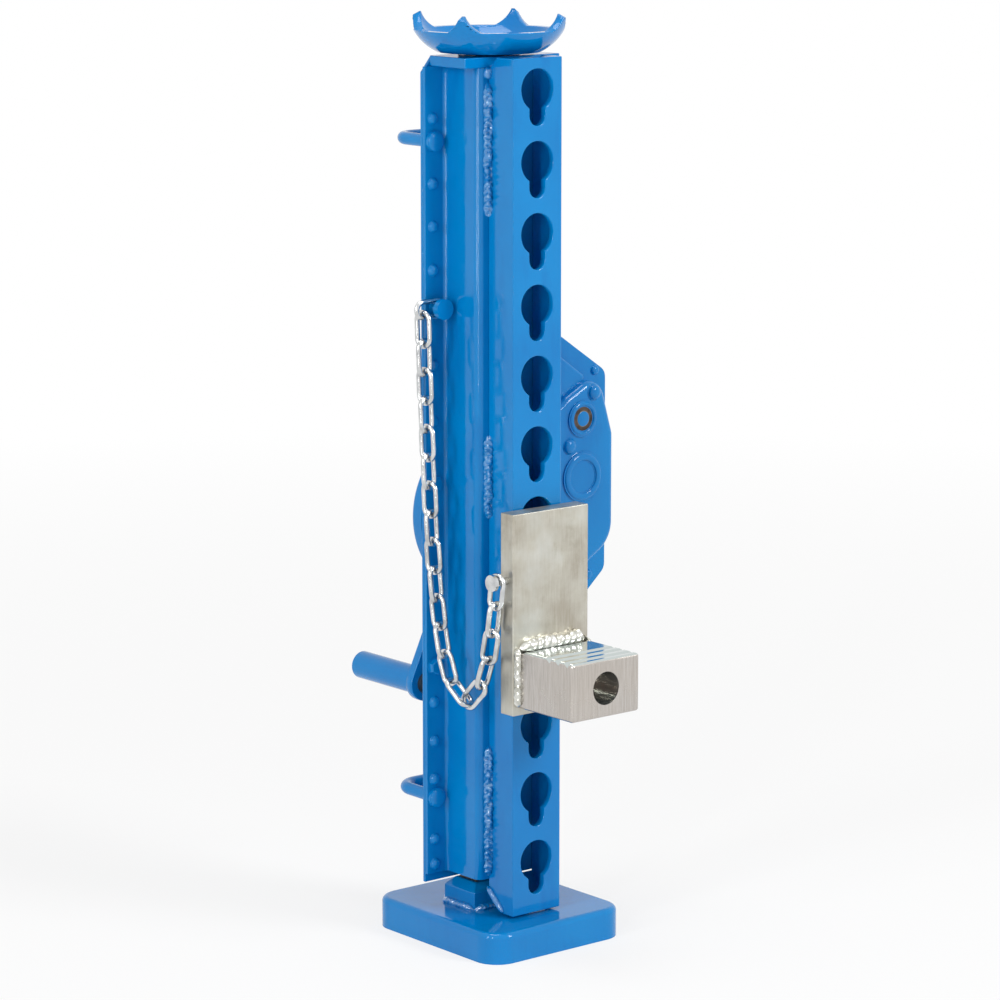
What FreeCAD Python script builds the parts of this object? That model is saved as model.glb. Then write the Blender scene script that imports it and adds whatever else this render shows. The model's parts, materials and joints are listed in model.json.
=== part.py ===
import FreeCAD, Part
import math
import os
import re
import Sketcher

Vector = FreeCAD.Vector

# Rack-and-pinion steel jack, closed. Millimetres. The origin is the middle of the shaft on the
# underside of the foot plate, +Z is up and the claw looks towards -Y.

# Driving dimensions, one cell of the sheet each.
SIZES = {
    # foot plate, and the welded foot that holds the rack
    "base_width": 137.0,
    "base_depth": 153.8,
    "base_thick": 24.7,
    "base_shift": 3.0,
    "base_corner": 20.0,
    "base_edge": 4.5,
    "foot_margin": 9.0,
    "foot_height": 20.0,
    # rack
    "rack_body": 26.25,
    "rack_depth": 20.0,
    "rack_top": 689.0,
    "rack_toothed": 380.0,
    "rack_play": 0.3,
    "head_y": 8.15,
    # shaft channel and back plate
    "shaft_width": 68.4,
    "shaft_front": 20.65,
    "flange_front": 19.35,
    "flange_span": 108.0,
    "sheet": 3.0,
    "bend": 6.0,
    "shaft_bottom": 51.4,
    "shaft_top": 690.0,
    "plate_thick": 3.0,
    "plate_bottom": 44.5,
    "plate_top": 698.0,
    "plate_cut_wide": 10.0,
    "plate_cut_high": 12.5,
    # widened gear side of the back plate
    "side_reach": 130.3,
    "side_top": 438.0,
    "side_bottom": 276.0,
    "side_rise": 52.0,
    "side_fall": 68.0,
    "side_round": 10.0,
    # keyhole rail
    "rail_width": 48.3,
    "rail_depth": 30.0,
    "rail_wall": 6.0,
    "rail_side_wall": 4.5,
    "rail_bottom": 26.7,
    "rail_top": 698.3,
    "rail_cut": 10.0,
    "rail_foot_cut": 17.0,
    "keyhole_count": 12,
    "keyhole_pitch": 55.0,
    "keyhole_top": 674.1,
    "keyhole_radius": 15.86,
    "slot_radius": 7.75,
    "slot_drop": 19.7,
    "weld_leg": 4.0,
    # head
    "head_width": 94.0,
    "head_thick": 8.0,
    "head_pin_radius": 10.0,
    "head_pin_cap": 16.0,
    "head_pin_cap_thick": 3.5,
    "crown_hub": 24.0,
    "crown_hub_high": 1.5,
    "crown_flat": 40.0,
    "crown_reach": 61.8,
    "crown_height": 30.2,
    "crown_wall": 6.4,
    "crown_curve": 38.0,
    "crown_turn": 31.0,
    "prong_height": 13.0,
    "prong_half": 13.0,
    "prong_tip_half": 1.0,
    "prong_curve": 24.0,
    # gear train
    "gear_x": 91.0,
    "mid_z": 358.0,
    "output_x": 18.0,
    "first_module": 2.0,
    "second_module": 2.5,
    "rack_module": 3.0,
    "crank_teeth": 18,
    "mid_teeth": 29,
    "mid_pinion_teeth": 12,
    "output_teeth": 49,
    "rack_pinion_teeth": 9,
    "backlash": 0.1,
    "first_gear_width": 10.0,
    "second_gear_width": 12.0,
    "rack_pinion_width": 19.0,
    "crank_shaft_radius": 6.5,
    "mid_shaft_radius": 8.0,
    "output_shaft_radius": 9.0,
    "crank_bush_wall": 3.1,
    "mid_bush_wall": 4.4,
    "output_bush_wall": 3.5,
    "running_fit": 0.05,
    "seat_fit": 0.02,
    # gear covers
    "cover_wall": 2.5,
    "cover_depth": 17.0,
    "cover_lip": 5.0,
    "cover_edge": 5.0,
    "cover_reach": 125.0,
    "cover_drop": 89.8,
    "cover_side_drop": 55.0,
    "cover_side_rise": 32.0,
    "cover_over": 36.0,
    "cover_peak_x": 110.0,
    "cover_shoulder_x": 76.0,
    "cover_foot_x": 70.0,
    "cover_big_round": 28.0,
    "cover_round": 16.0,
    "rear_depth": 20.5,
    "gear_room": 1.5,
    "gear_gap": 2.0,
    "boss_proud": 1.5,
    "crank_boss": 14.7,
    "mid_boss": 20.0,
    "rear_boss": 17.0,
    "rear_boss_proud": 2.0,
    "cover_bolt_radius": 6.5,
    "cover_bolt_high": 4.0,
    # crank
    "hub_radius": 27.0,
    "hub_length": 22.0,
    "arm_y": 74.0,
    "arm_thick": 8.0,
    "arm_width": 30.0,
    "crank_radius": 237.0,
    "crank_angle": 244.4,
    "nut_across": 19.0,
    "nut_high": 7.0,
    "grip_radius": 11.25,
    "grip_length": 78.0,
    "grip_pin_radius": 6.0,
    "grip_gap": 2.0,
    # carrying handles
    "handle_upper_z": 632.5,
    "handle_lower_z": 113.5,
    "handle_rod": 5.0,
    "handle_reach": 66.0,
    "handle_bend": 14.0,
    "peen_radius": 8.0,
    "peen_margin": 0.7,
    "peen_high": 3.0,
    # rivets and bolts of the flanges
    "rivet_inset": 7.5,
    "rivet_radius": 4.5,
    "rivet_high": 3.4,
    "flange_bolt_across": 11.0,
    "flange_bolt_high": 5.0,
    "anchor_z": 504.0,
    "anchor_radius": 4.0,
    "anchor_stand": 10.0,
    "anchor_head": 8.0,
    "anchor_head_high": 5.0,
    # chain
    "wire": 4.1,
    "link_length": 30.6,
    "link_width": 16.5,
    "link_play": 0.3,
    "link_count": 20,
    # claw
    "claw_width": 76.0,
    "claw_plate_thick": 15.0,
    "claw_plate_bottom": 194.0,
    "claw_plate_top": 352.5,
    "claw_gap": 1.5,
    "claw_hole": 6,
    "stud_step": 2,
    "stud_neck": 7.45,
    "stud_head": 15.0,
    "stud_head_thick": 6.0,
    "stud_gap": 0.5,
    "block_width": 68.0,
    "block_reach": 65.7,
    "block_bottom": 200.3,
    "block_top": 246.0,
    "block_edge": 2.5,
    "groove_pitch": 10.4,
    "groove_depth": 3.0,
    "groove_count": 3,
    "bore_radius": 13.0,
    "bore_depth": 45.0,
    "claw_weld": 10.0,
    "claw_weld_cut": 4.0,
    "chain_pin_z": 300.0,
    "chain_pin_radius": 3.0,
    "chain_pin_stand": 13.0,
    "chain_pin_head": 6.5,
    "chain_pin_head_high": 3.0,
}

# Places that several pieces share, worked out from the sizes above.
PLACES = {
    "shaft_half": "shaft_width / 2",
    "shaft_inner": "shaft_half - sheet",
    "flange_half": "flange_span / 2",
    "handle_half": "flange_half - peen_radius - peen_margin",
    "rivet_x": "flange_half - rivet_inset",
    "flange_back": "flange_front + sheet",
    "plate_back": "flange_back + plate_thick",
    "rail_half": "rail_width / 2",
    "rail_front": "-shaft_front - rail_depth",
    "pitch_x": "output_x - rack_module * rack_pinion_teeth / 2",
    "rack_tip": "pitch_x + rack_module * 0.8",
    "rack_back": "pitch_x - rack_body",
    "rack_near": "head_y - rack_depth / 2",
    "rack_far": "head_y + rack_depth / 2",
    "first_centres": "first_module * (crank_teeth + mid_teeth) / 2",
    "second_centres": "second_module * (mid_pinion_teeth + output_teeth) / 2",
    "crank_z": "mid_z + first_centres",
    "output_z": "mid_z - sqrt(second_centres ^ 2 - (gear_x - output_x) ^ 2)",
    "cover_front": "flange_front - cover_depth",
    "rear_back": "plate_back + rear_depth",
    "first_far": "flange_front - gear_gap",
    "first_near": "first_far - first_gear_width",
    "second_near": "plate_back + gear_gap * 1.5",
    "second_far": "second_near + second_gear_width",
    "crank_bush_radius": "crank_shaft_radius + crank_bush_wall",
    "mid_bush_radius": "mid_shaft_radius + mid_bush_wall",
    "output_bush_radius": "output_shaft_radius + output_bush_wall",
    "head_top": "shaft_top + head_thick",
    "crown_foot": "head_top + 0.3",
    "crown_low": "crown_foot + crown_hub_high",
    "crown_floor": "crown_low + crown_wall",
    "crown_top": "crown_low + crown_height",
    "crown_rim": "crown_top - prong_height",
    "claw_back": "rail_front - claw_gap",
    "claw_front": "claw_back - claw_plate_thick",
    "block_front": "claw_front - block_reach",
    "stud_z": "keyhole_top - keyhole_pitch * claw_hole - slot_drop",
    "chain_pin_y": "claw_back - claw_plate_thick / 2",
    "anchor_head_y": "flange_front - anchor_stand",
}

RAIL_WELDS = ((54, 160), (341, 407), (576, 679))
COVER_BOLTS = ((12.3, 20), (-13.3, -21))
RIVET_HEIGHTS = (650, 600, 567, 533, 459, 415, 191, 159.5, 128.6, 79.6, 59)
HEX_BOLT_HEIGHTS = (366, 220)
ADDENDUM = 0.8
DEDENDUM = 1.05
PRESSURE_ANGLE = math.radians(25)

doc = FreeCAD.newDocument("steel_jack")
sheet = doc.addObject("Spreadsheet::Sheet", "sizes")
for row, (alias, amount) in enumerate(SIZES.items(), start=1):
    sheet.set("A%d" % row, alias)
    sheet.set("B%d" % row, str(amount))
    sheet.setAlias("B%d" % row, alias)
doc.recompute()

parts = []


def bound(text):
    """Write out an expression so that every size in it is read from the sheet."""
    def swap(match):
        word = match.group(0)
        if word in PLACES:
            return "(" + bound(PLACES[word]) + ")"
        if word in SIZES:
            return "sizes." + word
        return word
    return re.sub(r"[a-z][a-z_]*", swap, text)


def number(text):
    """The value of an expression."""
    return float(sheet.evalExpression(bound(text)))


def keep(piece, label):
    """Name a finished piece and list it for export."""
    piece.Label = label
    parts.append(piece)
    return piece


def new_body(label):
    body = doc.addObject("PartDesign::Body", label)
    return keep(body, label)


def sketch_on(body, role, start):
    """A sketch on one of the body's own planes, moved along the plane's normal to start."""
    support = next(item for item in body.Origin.OriginFeatures if item.Role == role)
    sketch = body.newObject("Sketcher::SketchObject", body.Name + "_sketch")
    sketch.AttachmentSupport = [(support, "")]
    sketch.MapMode = "FlatFace"
    sign = "-" if role == "XZ_Plane" else ""
    sketch.setExpression(".AttachmentOffset.Base.z", bound("%s(%s)" % (sign, start)))
    return sketch


def pin_point(sketch, item, end, across, up):
    for kind, text in (("DistanceX", across), ("DistanceY", up)):
        constraint = Sketcher.Constraint(kind, -1, 1, item, end, number(text))
        index = sketch.addConstraint(constraint)
        sketch.setExpression("Constraints[%d]" % index, bound(text))


def set_radius(sketch, item, radius):
    index = sketch.addConstraint(Sketcher.Constraint("Radius", item, number(radius)))
    sketch.setExpression("Constraints[%d]" % index, bound(radius))


def circle(sketch, across, up, radius):
    centre = Vector(number(across), number(up), 0)
    item = sketch.addGeometry(Part.Circle(centre, Vector(0, 0, 1), number(radius)), False)
    pin_point(sketch, item, 3, across, up)
    set_radius(sketch, item, radius)


def arc_between(first, second, radius, turn):
    """Arc from first to second; turn is 1 where it runs anticlockwise and -1 where clockwise."""
    if turn < 0:
        return arc_between(second, first, radius, 1)
    middle = (first + second) * 0.5
    chord = second - first
    height = math.sqrt(max(radius ** 2 - chord.Length ** 2 / 4, 0))
    side = Vector(-chord.y, chord.x, 0).normalize()
    centre = middle + side * height
    begin = math.atan2(first.y - centre.y, first.x - centre.x)
    finish = math.atan2(second.y - centre.y, second.x - centre.x)
    return Part.ArcOfCircle(Part.Circle(centre, Vector(0, 0, 1), radius), begin, finish)


def outline(sketch, points):
    """Closed outline. A point is (across, up), or (across, up, radius, turn) before an arc."""
    spots = [Vector(number(point[0]), number(point[1]), 0) for point in points]
    ends = []
    for index, point in enumerate(points):
        here = spots[index]
        there = spots[(index + 1) % len(spots)]
        if len(point) == 2:
            item = sketch.addGeometry(Part.LineSegment(here, there), False)
            ends.append((item, 1, 2))
        else:
            item = sketch.addGeometry(arc_between(here, there, number(point[2]), point[3]), False)
            ends.append((item, 1, 2) if point[3] > 0 else (item, 2, 1))
    for index, (item, begin, finish) in enumerate(ends):
        after = ends[(index + 1) % len(ends)]
        sketch.addConstraint(Sketcher.Constraint("Coincident", item, finish, after[0], after[1]))
        pin_point(sketch, item, begin, points[index][0], points[index][1])
        if len(points[index]) > 2:
            set_radius(sketch, item, points[index][2])


def rectangle(sketch, left, right, low, high):
    outline(sketch, [(left, low), (right, low), (right, high), (left, high)])


def extrude(body, kind, role, low, high, draw, *data):
    """Pad or pocket between two places on the axis that the plane looks along."""
    before = body.Shape.Volume if kind == "Pocket" else 0
    sketch = sketch_on(body, role, high if role == "XZ_Plane" else low)
    draw(sketch, *data)
    feature = body.newObject("PartDesign::" + kind, body.Name + "_" + kind.lower())
    feature.Profile = sketch
    feature.setExpression("Length", bound("(%s) - (%s)" % (high, low)))
    feature.Reversed = kind == "Pocket"
    doc.recompute()
    if kind == "Pocket" and body.Shape.Volume > before - 0.01:
        raise ValueError("pocket cuts nothing in " + body.Label)
    return feature


def pad(body, role, low, high, draw, *data):
    return extrude(body, "Pad", role, low, high, draw, *data)


def pocket(body, role, low, high, draw, *data):
    return extrude(body, "Pocket", role, low, high, draw, *data)


def revolve(body, points):
    """Turn an outline of (radius, height) points about the body's own Z axis."""
    sketch = sketch_on(body, "XZ_Plane", "0")
    outline(sketch, points)
    feature = body.newObject("PartDesign::Revolution", body.Name + "_turning")
    feature.Profile = sketch
    feature.ReferenceAxis = (sketch, ["V_Axis"])
    feature.Angle = 360
    doc.recompute()
    return feature


def dress_edges(body, kind, amount, wanted):
    """Fillet or chamfer of the edges of the newest feature that pass a test."""
    base = body.Tip
    edges = enumerate(base.Shape.Edges, start=1)
    names = ["Edge%d" % index for index, edge in edges if wanted(edge)]
    if not names:
        raise ValueError("no edge to dress in " + body.Label)
    dressing = body.newObject("PartDesign::" + kind, body.Name + "_" + kind.lower())
    dressing.Base = (base, names)
    dressing.setExpression("Radius" if kind == "Fillet" else "Size", bound(amount))
    doc.recompute()


def round_edges(body, radius, wanted):
    dress_edges(body, "Fillet", radius, wanted)


def bevel_edges(body, size, wanted):
    dress_edges(body, "Chamfer", size, wanted)


def upright(corners):
    """Test for straight edges along Z at the given (x, y) corners."""
    spots = [(number(x), number(y)) for x, y in corners]

    def wanted(edge):
        ends = [vertex.Point for vertex in edge.Vertexes]
        if len(ends) != 2 or abs(ends[0].x - ends[1].x) + abs(ends[0].y - ends[1].y) > 1e-4:
            return False
        return any(math.hypot(ends[0].x - x, ends[0].y - y) < 1e-3 for x, y in spots)
    return wanted


def crosswise(corners):
    """Test for straight edges along Y at the given (x, z) corners."""
    spots = [(number(x), number(z)) for x, z in corners]

    def wanted(edge):
        ends = [vertex.Point for vertex in edge.Vertexes]
        if len(ends) != 2 or abs(ends[0].x - ends[1].x) + abs(ends[0].z - ends[1].z) > 1e-4:
            return False
        return any(math.hypot(ends[0].x - x, ends[0].z - z) < 1e-3 for x, z in spots)
    return wanted


def level(height):
    """Test for edges that lie at one height."""
    place = number(height)

    def wanted(edge):
        return all(abs(vertex.Point.z - place) < 1e-4 for vertex in edge.Vertexes) \
            and abs(edge.CenterOfMass.z - place) < 1e-3
    return wanted


def step_along(body, feature, axis, spacing, count):
    """Repeat a feature in a straight row along the sketch's axis."""
    pattern = body.newObject("PartDesign::LinearPattern", body.Name + "_row")
    pattern.Originals = [feature]
    pattern.Direction = (feature.Profile[0], [axis])
    pattern.setExpression("Length", bound("(%s) * (%s)" % (spacing, count)))
    pattern.setExpression("Occurrences", bound("(%s) + 1" % count))
    body.Tip = pattern
    doc.recompute()
    return pattern


def locate(piece, x, y, z):
    for letter, text in (("x", x), ("y", y), ("z", z)):
        piece.setExpression(".Placement.Base." + letter, bound(text))


def block(name, left, right, near, far, low, high):
    piece = doc.addObject("Part::Box", name)
    piece.setExpression("Length", bound("(%s) - (%s)" % (right, left)))
    piece.setExpression("Width", bound("(%s) - (%s)" % (far, near)))
    piece.setExpression("Height", bound("(%s) - (%s)" % (high, low)))
    locate(piece, left, near, low)
    return piece


TURN_TO = {
    "x": FreeCAD.Rotation(Vector(0, 1, 0), 90),
    "y": FreeCAD.Rotation(Vector(1, 0, 0), -90),
    "z": FreeCAD.Rotation(),
}


def cylinder(name, axis, x, y, z, radius, length):
    """Cylinder from (x, y, z) along one axis."""
    piece = doc.addObject("Part::Cylinder", name)
    piece.Placement = FreeCAD.Placement(Vector(), TURN_TO[axis])
    piece.setExpression("Radius", bound(radius))
    piece.setExpression("Height", bound(length))
    locate(piece, x, y, z)
    return piece


def along_y(name, x, z, radius, near, far):
    return cylinder(name, "y", x, near, z, radius, "(%s) - (%s)" % (far, near))


def fuse(name, pieces):
    joined = doc.addObject("Part::MultiFuse", name)
    joined.Shapes = pieces
    joined.Refine = True
    return joined


def cut(name, base, tool):
    result = doc.addObject("Part::Cut", name)
    result.Base = base
    result.Tool = tool
    return result


def group(name, pieces):
    """Separate solids that share one node."""
    compound = doc.addObject("Part::Compound", name)
    compound.Links = pieces
    return compound


def feature(name, shape, place=FreeCAD.Placement()):
    piece = doc.addObject("Part::Feature", name)
    piece.Shape = shape
    piece.Placement = place
    return piece


def ring(name, x, z, inner, outer, near, far):
    """Bush or collar on an axis along Y."""
    wall = along_y(name + "_wall", x, z, outer, near, far)
    hole = along_y(name + "_hole", x, z, inner, near, far)
    return cut(name, wall, hole)


def build_foot():
    base = new_body("base_plate")
    left = "base_shift - base_width / 2"
    right = "base_shift + base_width / 2"
    near = "-base_depth / 2"
    far = "base_depth / 2"
    pad(base, "XY_Plane", "0", "base_thick", rectangle, left, right, near, far)
    corners = [(left, near), (right, near), (left, far), (right, far)]
    round_edges(base, "base_corner", upright(corners))
    round_edges(base, "base_edge", level("base_thick"))

    foot = new_body("rack_foot")
    top = "base_thick + foot_height"
    pad(foot, "XY_Plane", "base_thick", top, rectangle, "rack_back - foot_margin",
        "rack_tip + foot_margin", "rack_near - foot_margin", "rack_far + foot_margin")
    pocket(foot, "XY_Plane", "base_thick", top, rectangle, "rack_back", "rack_tip",
           "rack_near", "rack_far")
    limits = [number(text) for text in ("rack_back - 1", "rack_tip + 1", "rack_near - 1",
                                        "rack_far + 1", top)]

    def outer_rim(edge):
        middle = edge.CenterOfMass
        outside = middle.x < limits[0] or middle.x > limits[1]
        outside = outside or middle.y < limits[2] or middle.y > limits[3]
        return outside and all(abs(vertex.Point.z - limits[4]) < 1e-4 for vertex in edge.Vertexes)
    bevel_edges(foot, "foot_margin * 0.7", outer_rim)


def tooth_gap(sketch, across, up):
    """Gap between two rack teeth, drawn round a point on the pitch line."""
    slope = math.tan(PRESSURE_ANGLE)
    half = "(rack_module * 3.14159265 / 4 + backlash / 2)"
    outer = "(rack_module * %s + 1)" % ADDENDUM
    deep = "rack_module * %s" % DEDENDUM
    wide = "(%s + %s * %.8f)" % (half, outer, slope)
    narrow = "(%s - %s * %.8f)" % (half, deep, slope)
    outline(sketch, [
        ("%s - %s" % (across, deep), "%s - %s" % (up, narrow)),
        ("%s + %s" % (across, outer), "%s - %s" % (up, wide)),
        ("%s + %s" % (across, outer), "%s + %s" % (up, wide)),
        ("%s - %s" % (across, deep), "%s + %s" % (up, narrow)),
    ])


def build_rack():
    """Toothed bar; a gap is centred on the output shaft, with more gaps above it and below."""
    rack = new_body("rack")
    pad(rack, "XY_Plane", "base_thick", "rack_top", rectangle,
        "rack_back", "rack_tip", "rack_near", "rack_far")
    pitch = number("rack_module * 3.14159265")
    above = int((number("rack_top - output_z")) / pitch)
    below = int(number("rack_toothed") / pitch) - above
    first = "(output_z - %d * rack_module * 3.14159265)" % below
    gap = pocket(rack, "XZ_Plane", "rack_near - 1", "rack_far + 1", tooth_gap, "pitch_x", first)
    step_along(rack, gap, "V_Axis", "rack_module * 3.14159265", str(above + below))


def build_shaft():
    channel = new_body("shaft_channel")
    front = "-shaft_front"
    inside = "sheet - shaft_front"
    pad(channel, "XY_Plane", "shaft_bottom", "shaft_top", outline, [
        ("-flange_half", "flange_front"), ("-shaft_half", "flange_front"),
        ("-shaft_half", front), ("shaft_half", front),
        ("shaft_half", "flange_front"), ("flange_half", "flange_front"),
        ("flange_half", "flange_back"), ("shaft_inner", "flange_back"),
        ("shaft_inner", inside), ("-shaft_inner", inside),
        ("-shaft_inner", "flange_back"), ("-flange_half", "flange_back")])
    outer = [("-shaft_half", front), ("shaft_half", front),
             ("shaft_inner", "flange_back"), ("-shaft_inner", "flange_back")]
    inner = [("-shaft_inner", inside), ("shaft_inner", inside),
             ("shaft_half", "flange_front"), ("-shaft_half", "flange_front")]
    round_edges(channel, "bend", upright(outer))
    round_edges(channel, "bend - sheet", upright(inner))
    tip = "(rack_module * (rack_pinion_teeth / 2 + 1.5))"
    pocket(channel, "YZ_Plane", "shaft_inner - 1", "shaft_half + 1", rectangle,
           "rack_near - 1", "rack_far + 0.5", "output_z - " + tip, "output_z + " + tip)
    for height in ("handle_upper_z", "handle_lower_z"):
        for side in ("-handle_half", "handle_half"):
            pocket(channel, "XZ_Plane", "flange_front - 1", "flange_back + 1", circle,
                   side, height, "handle_rod + seat_fit")


def side_outline():
    """Corner points of the gear side, from the flange's edge out and back."""
    return [
        ("flange_half", "side_bottom - side_fall"),
        ("side_reach", "side_bottom"),
        ("side_reach", "side_top"),
        ("flange_half", "side_top + side_rise"),
    ]


def shaft_holes(body, near, far):
    """Bush holes for the crank shaft and the intermediate shaft."""
    pocket(body, "XZ_Plane", near, far, circle, "gear_x", "crank_z", "crank_bush_radius + seat_fit")
    pocket(body, "XZ_Plane", near, far, circle, "gear_x", "mid_z", "mid_bush_radius + seat_fit")


def build_plates():
    plate = new_body("back_plate")
    cut_x = "flange_half - plate_cut_wide"
    cut_z = "plate_top - plate_cut_high"
    pad(plate, "XZ_Plane", "flange_back", "plate_back", outline, [
        ("-flange_half", "plate_bottom"), ("flange_half", "plate_bottom")] + side_outline() + [
        ("flange_half", cut_z), (cut_x, "plate_top"),
        ("-(%s)" % cut_x, "plate_top"), ("-flange_half", cut_z)])
    side_corners = crosswise(side_outline()[1:3])
    round_edges(plate, "side_round", side_corners)
    near = "flange_back - 1"
    far = "plate_back + 1"
    shaft_holes(plate, near, far)
    pocket(plate, "XZ_Plane", near, far, circle, "output_x", "output_z",
           "output_bush_radius + seat_fit")
    for height in ("handle_upper_z", "handle_lower_z"):
        for side in ("-handle_half", "handle_half"):
            pocket(plate, "XZ_Plane", near, far, circle, side, height, "handle_rod + seat_fit")

    gear_side = new_body("gear_side_plate")
    pad(gear_side, "XZ_Plane", "flange_front", "flange_back", outline, side_outline())
    round_edges(gear_side, "side_round", side_corners)
    shaft_holes(gear_side, "flange_front - 1", "flange_back + 1")


def keyhole(sketch, across, up):
    """Round hole with a slot below it, the slot's end a half circle."""
    big = number("keyhole_radius")
    small = number("slot_radius")
    x = number(across)
    y = number(up)
    drop = number("slot_drop")
    meet = math.sqrt(big ** 2 - small ** 2)
    lean = math.asin(small / big)
    up_axis = Vector(0, 0, 1)
    round_part = Part.ArcOfCircle(Part.Circle(Vector(x, y, 0), up_axis, big),
                                  lean - math.pi / 2, 1.5 * math.pi - lean)
    end_part = Part.ArcOfCircle(Part.Circle(Vector(x, y - drop, 0), up_axis, small),
                                math.pi, 2 * math.pi)
    sketch.addGeometry(round_part, False)
    sketch.addGeometry(Part.LineSegment(Vector(x - small, y - meet, 0),
                                        Vector(x - small, y - drop, 0)), False)
    sketch.addGeometry(end_part, False)
    sketch.addGeometry(Part.LineSegment(Vector(x + small, y - drop, 0),
                                        Vector(x + small, y - meet, 0)), False)
    for item, after in ((0, 1), (3, 0)):
        sketch.addConstraint(Sketcher.Constraint("Coincident", item, 2, after, 1))
    for item in (1, 3):
        sketch.addConstraint(Sketcher.Constraint("Vertical", item))
    pin_point(sketch, 0, 3, across, up)
    pin_point(sketch, 2, 3, across, "(%s) - slot_drop" % up)
    set_radius(sketch, 0, "keyhole_radius")
    set_radius(sketch, 2, "slot_radius")
    sketch.addConstraint(Sketcher.Constraint("Tangent", 1, 2, 2, 1))
    sketch.addConstraint(Sketcher.Constraint("Tangent", 2, 2, 3, 1))


def build_rail():
    rail = new_body("claw_rail")
    inner = "rail_half - rail_side_wall"
    pad(rail, "XY_Plane", "rail_bottom", "rail_top", outline, [
        ("-rail_half", "rail_front"), ("rail_half", "rail_front"),
        ("rail_half", "-shaft_front"), (inner, "-shaft_front"),
        (inner, "rail_front + rail_wall"), ("-(%s)" % inner, "rail_front + rail_wall"),
        ("-(%s)" % inner, "-shaft_front"), ("-rail_half", "-shaft_front")])
    pocket(rail, "YZ_Plane", "-rail_half - 1", "rail_half + 1", outline, [
        ("1 - shaft_front", "rail_top - rail_cut - 1"), ("1 - shaft_front", "rail_top + 1"),
        ("-shaft_front - rail_cut - 1", "rail_top + 1")])
    pocket(rail, "YZ_Plane", "-rail_half - 1", "rail_half + 1", outline, [
        ("1 - shaft_front", "rail_bottom - 1"), ("1 - shaft_front", "rail_bottom + rail_foot_cut + 1"),
        ("-shaft_front - rail_foot_cut - 1", "rail_bottom - 1")])
    lowest = "keyhole_top - keyhole_pitch * (keyhole_count - 1)"
    hole = pocket(rail, "XZ_Plane", "rail_front - 1", "rail_front + rail_wall + 1", keyhole,
                  "0", lowest)
    step_along(rail, hole, "V_Axis", "keyhole_pitch", "keyhole_count - 1")

    beads = []
    leg = number("weld_leg")
    for low, high in RAIL_WELDS:
        for side in (-1, 1):
            foot = Vector(side * number("rail_half"), number("-shaft_front"), low)
            corners = [foot, foot + Vector(side * leg, 0, 0), foot + Vector(0, -leg, 0), foot]
            face = Part.Face(Part.makePolygon(corners))
            beads.append(feature("rail_weld_bead", face.extrude(Vector(0, 0, high - low))))
    keep(group("rail_welds", beads), "rail_welds")


def build_head():
    head = new_body("head_block")
    pad(head, "XY_Plane", "shaft_top", "head_top", rectangle,
        "-head_width / 2", "head_width / 2", "-shaft_front", "flange_back")
    pocket(head, "XY_Plane", "shaft_top - 1", "head_top + 1", circle,
           "0", "head_y", "head_pin_radius + seat_fit")

    pin = new_body("head_pin")
    cap_low = "crown_floor + 0.3"
    revolve(pin, [
        ("0", "shaft_top"), ("head_pin_radius", "shaft_top"), ("head_pin_radius", cap_low),
        ("head_pin_cap", cap_low), ("head_pin_cap - 2", cap_low + " + head_pin_cap_thick"),
        ("0", cap_low + " + head_pin_cap_thick")])
    locate(pin, "0", "head_y", "0")

    bowl = doc.addObject("PartDesign::Body", "crown_bowl")
    revolve(bowl, [
        ("head_pin_radius + running_fit", "crown_foot"), ("crown_hub", "crown_foot"),
        ("crown_hub", "crown_low"), ("crown_flat", "crown_low", "crown_curve", 1),
        ("crown_reach", "crown_top - crown_wall / 2"),
        ("crown_reach - crown_wall * 0.9", "crown_top", "crown_curve - crown_wall", -1),
        ("crown_flat - crown_wall / 2", "crown_floor"),
        ("head_pin_radius + running_fit", "crown_floor")])
    form = doc.addObject("PartDesign::Body", "crown_form")
    pad(form, "XY_Plane", "crown_foot - 1", "crown_rim", circle, "0", "0", "crown_reach + 1")
    for plane in ("YZ_Plane", "XZ_Plane"):
        pad(form, plane, "-crown_reach - 1", "crown_reach + 1", outline, [
            ("-prong_half", "crown_foot"), ("prong_half", "crown_foot"),
            ("prong_half", "crown_rim", "prong_curve", -1), ("prong_tip_half", "crown_top + 1"),
            ("-prong_tip_half", "crown_top + 1", "prong_curve", -1), ("-prong_half", "crown_rim")])
    crown = doc.addObject("Part::MultiCommon", "crown")
    crown.Shapes = [bowl, form]
    crown.Placement = FreeCAD.Placement(Vector(), FreeCAD.Rotation(Vector(0, 0, 1), number("crown_turn")))
    locate(crown, "0", "head_y", "0")
    keep(crown, "crown")


def build_guides():
    guide = new_body("rack_guide")
    low = "shaft_bottom"
    high = "shaft_bottom + 40"
    front = "sheet - shaft_front"
    pad(guide, "XY_Plane", low, high, rectangle, "-shaft_inner", "shaft_inner", front, "flange_back")
    pocket(guide, "XY_Plane", low + " - 1", high + " + 1", rectangle,
           "rack_back - rack_play", "rack_tip + rack_play",
           "rack_near - rack_play", "rack_far + rack_play")
    corners = [("-shaft_inner", front), ("shaft_inner", front)]
    round_edges(guide, "bend - sheet + 0.1", upright(corners))
    back = [("-shaft_inner", "flange_back"), ("shaft_inner", "flange_back")]
    bevel_edges(guide, "bend / 4", upright(back))

    backing = block("rack_backing", "-shaft_inner", "rack_back - rack_play", "rack_near", "rack_far",
                    "output_z - 30", "output_z + 30")
    keep(backing, "rack_backing")

    bearing = block("bearing_block", "rack_tip + 1", "shaft_inner - bend", "sheet - shaft_front",
                    "rack_near - 0.65", "output_z - 25", "output_z + 25")
    hole = along_y("bearing_hole", "output_x", "output_z", "output_shaft_radius + running_fit",
                   "rack_near - 0.65 - 10", "rack_near")
    keep(cut("pinion_bearing", bearing, hole), "pinion_bearing")


def involute(angle):
    return math.tan(angle) - angle


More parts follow.
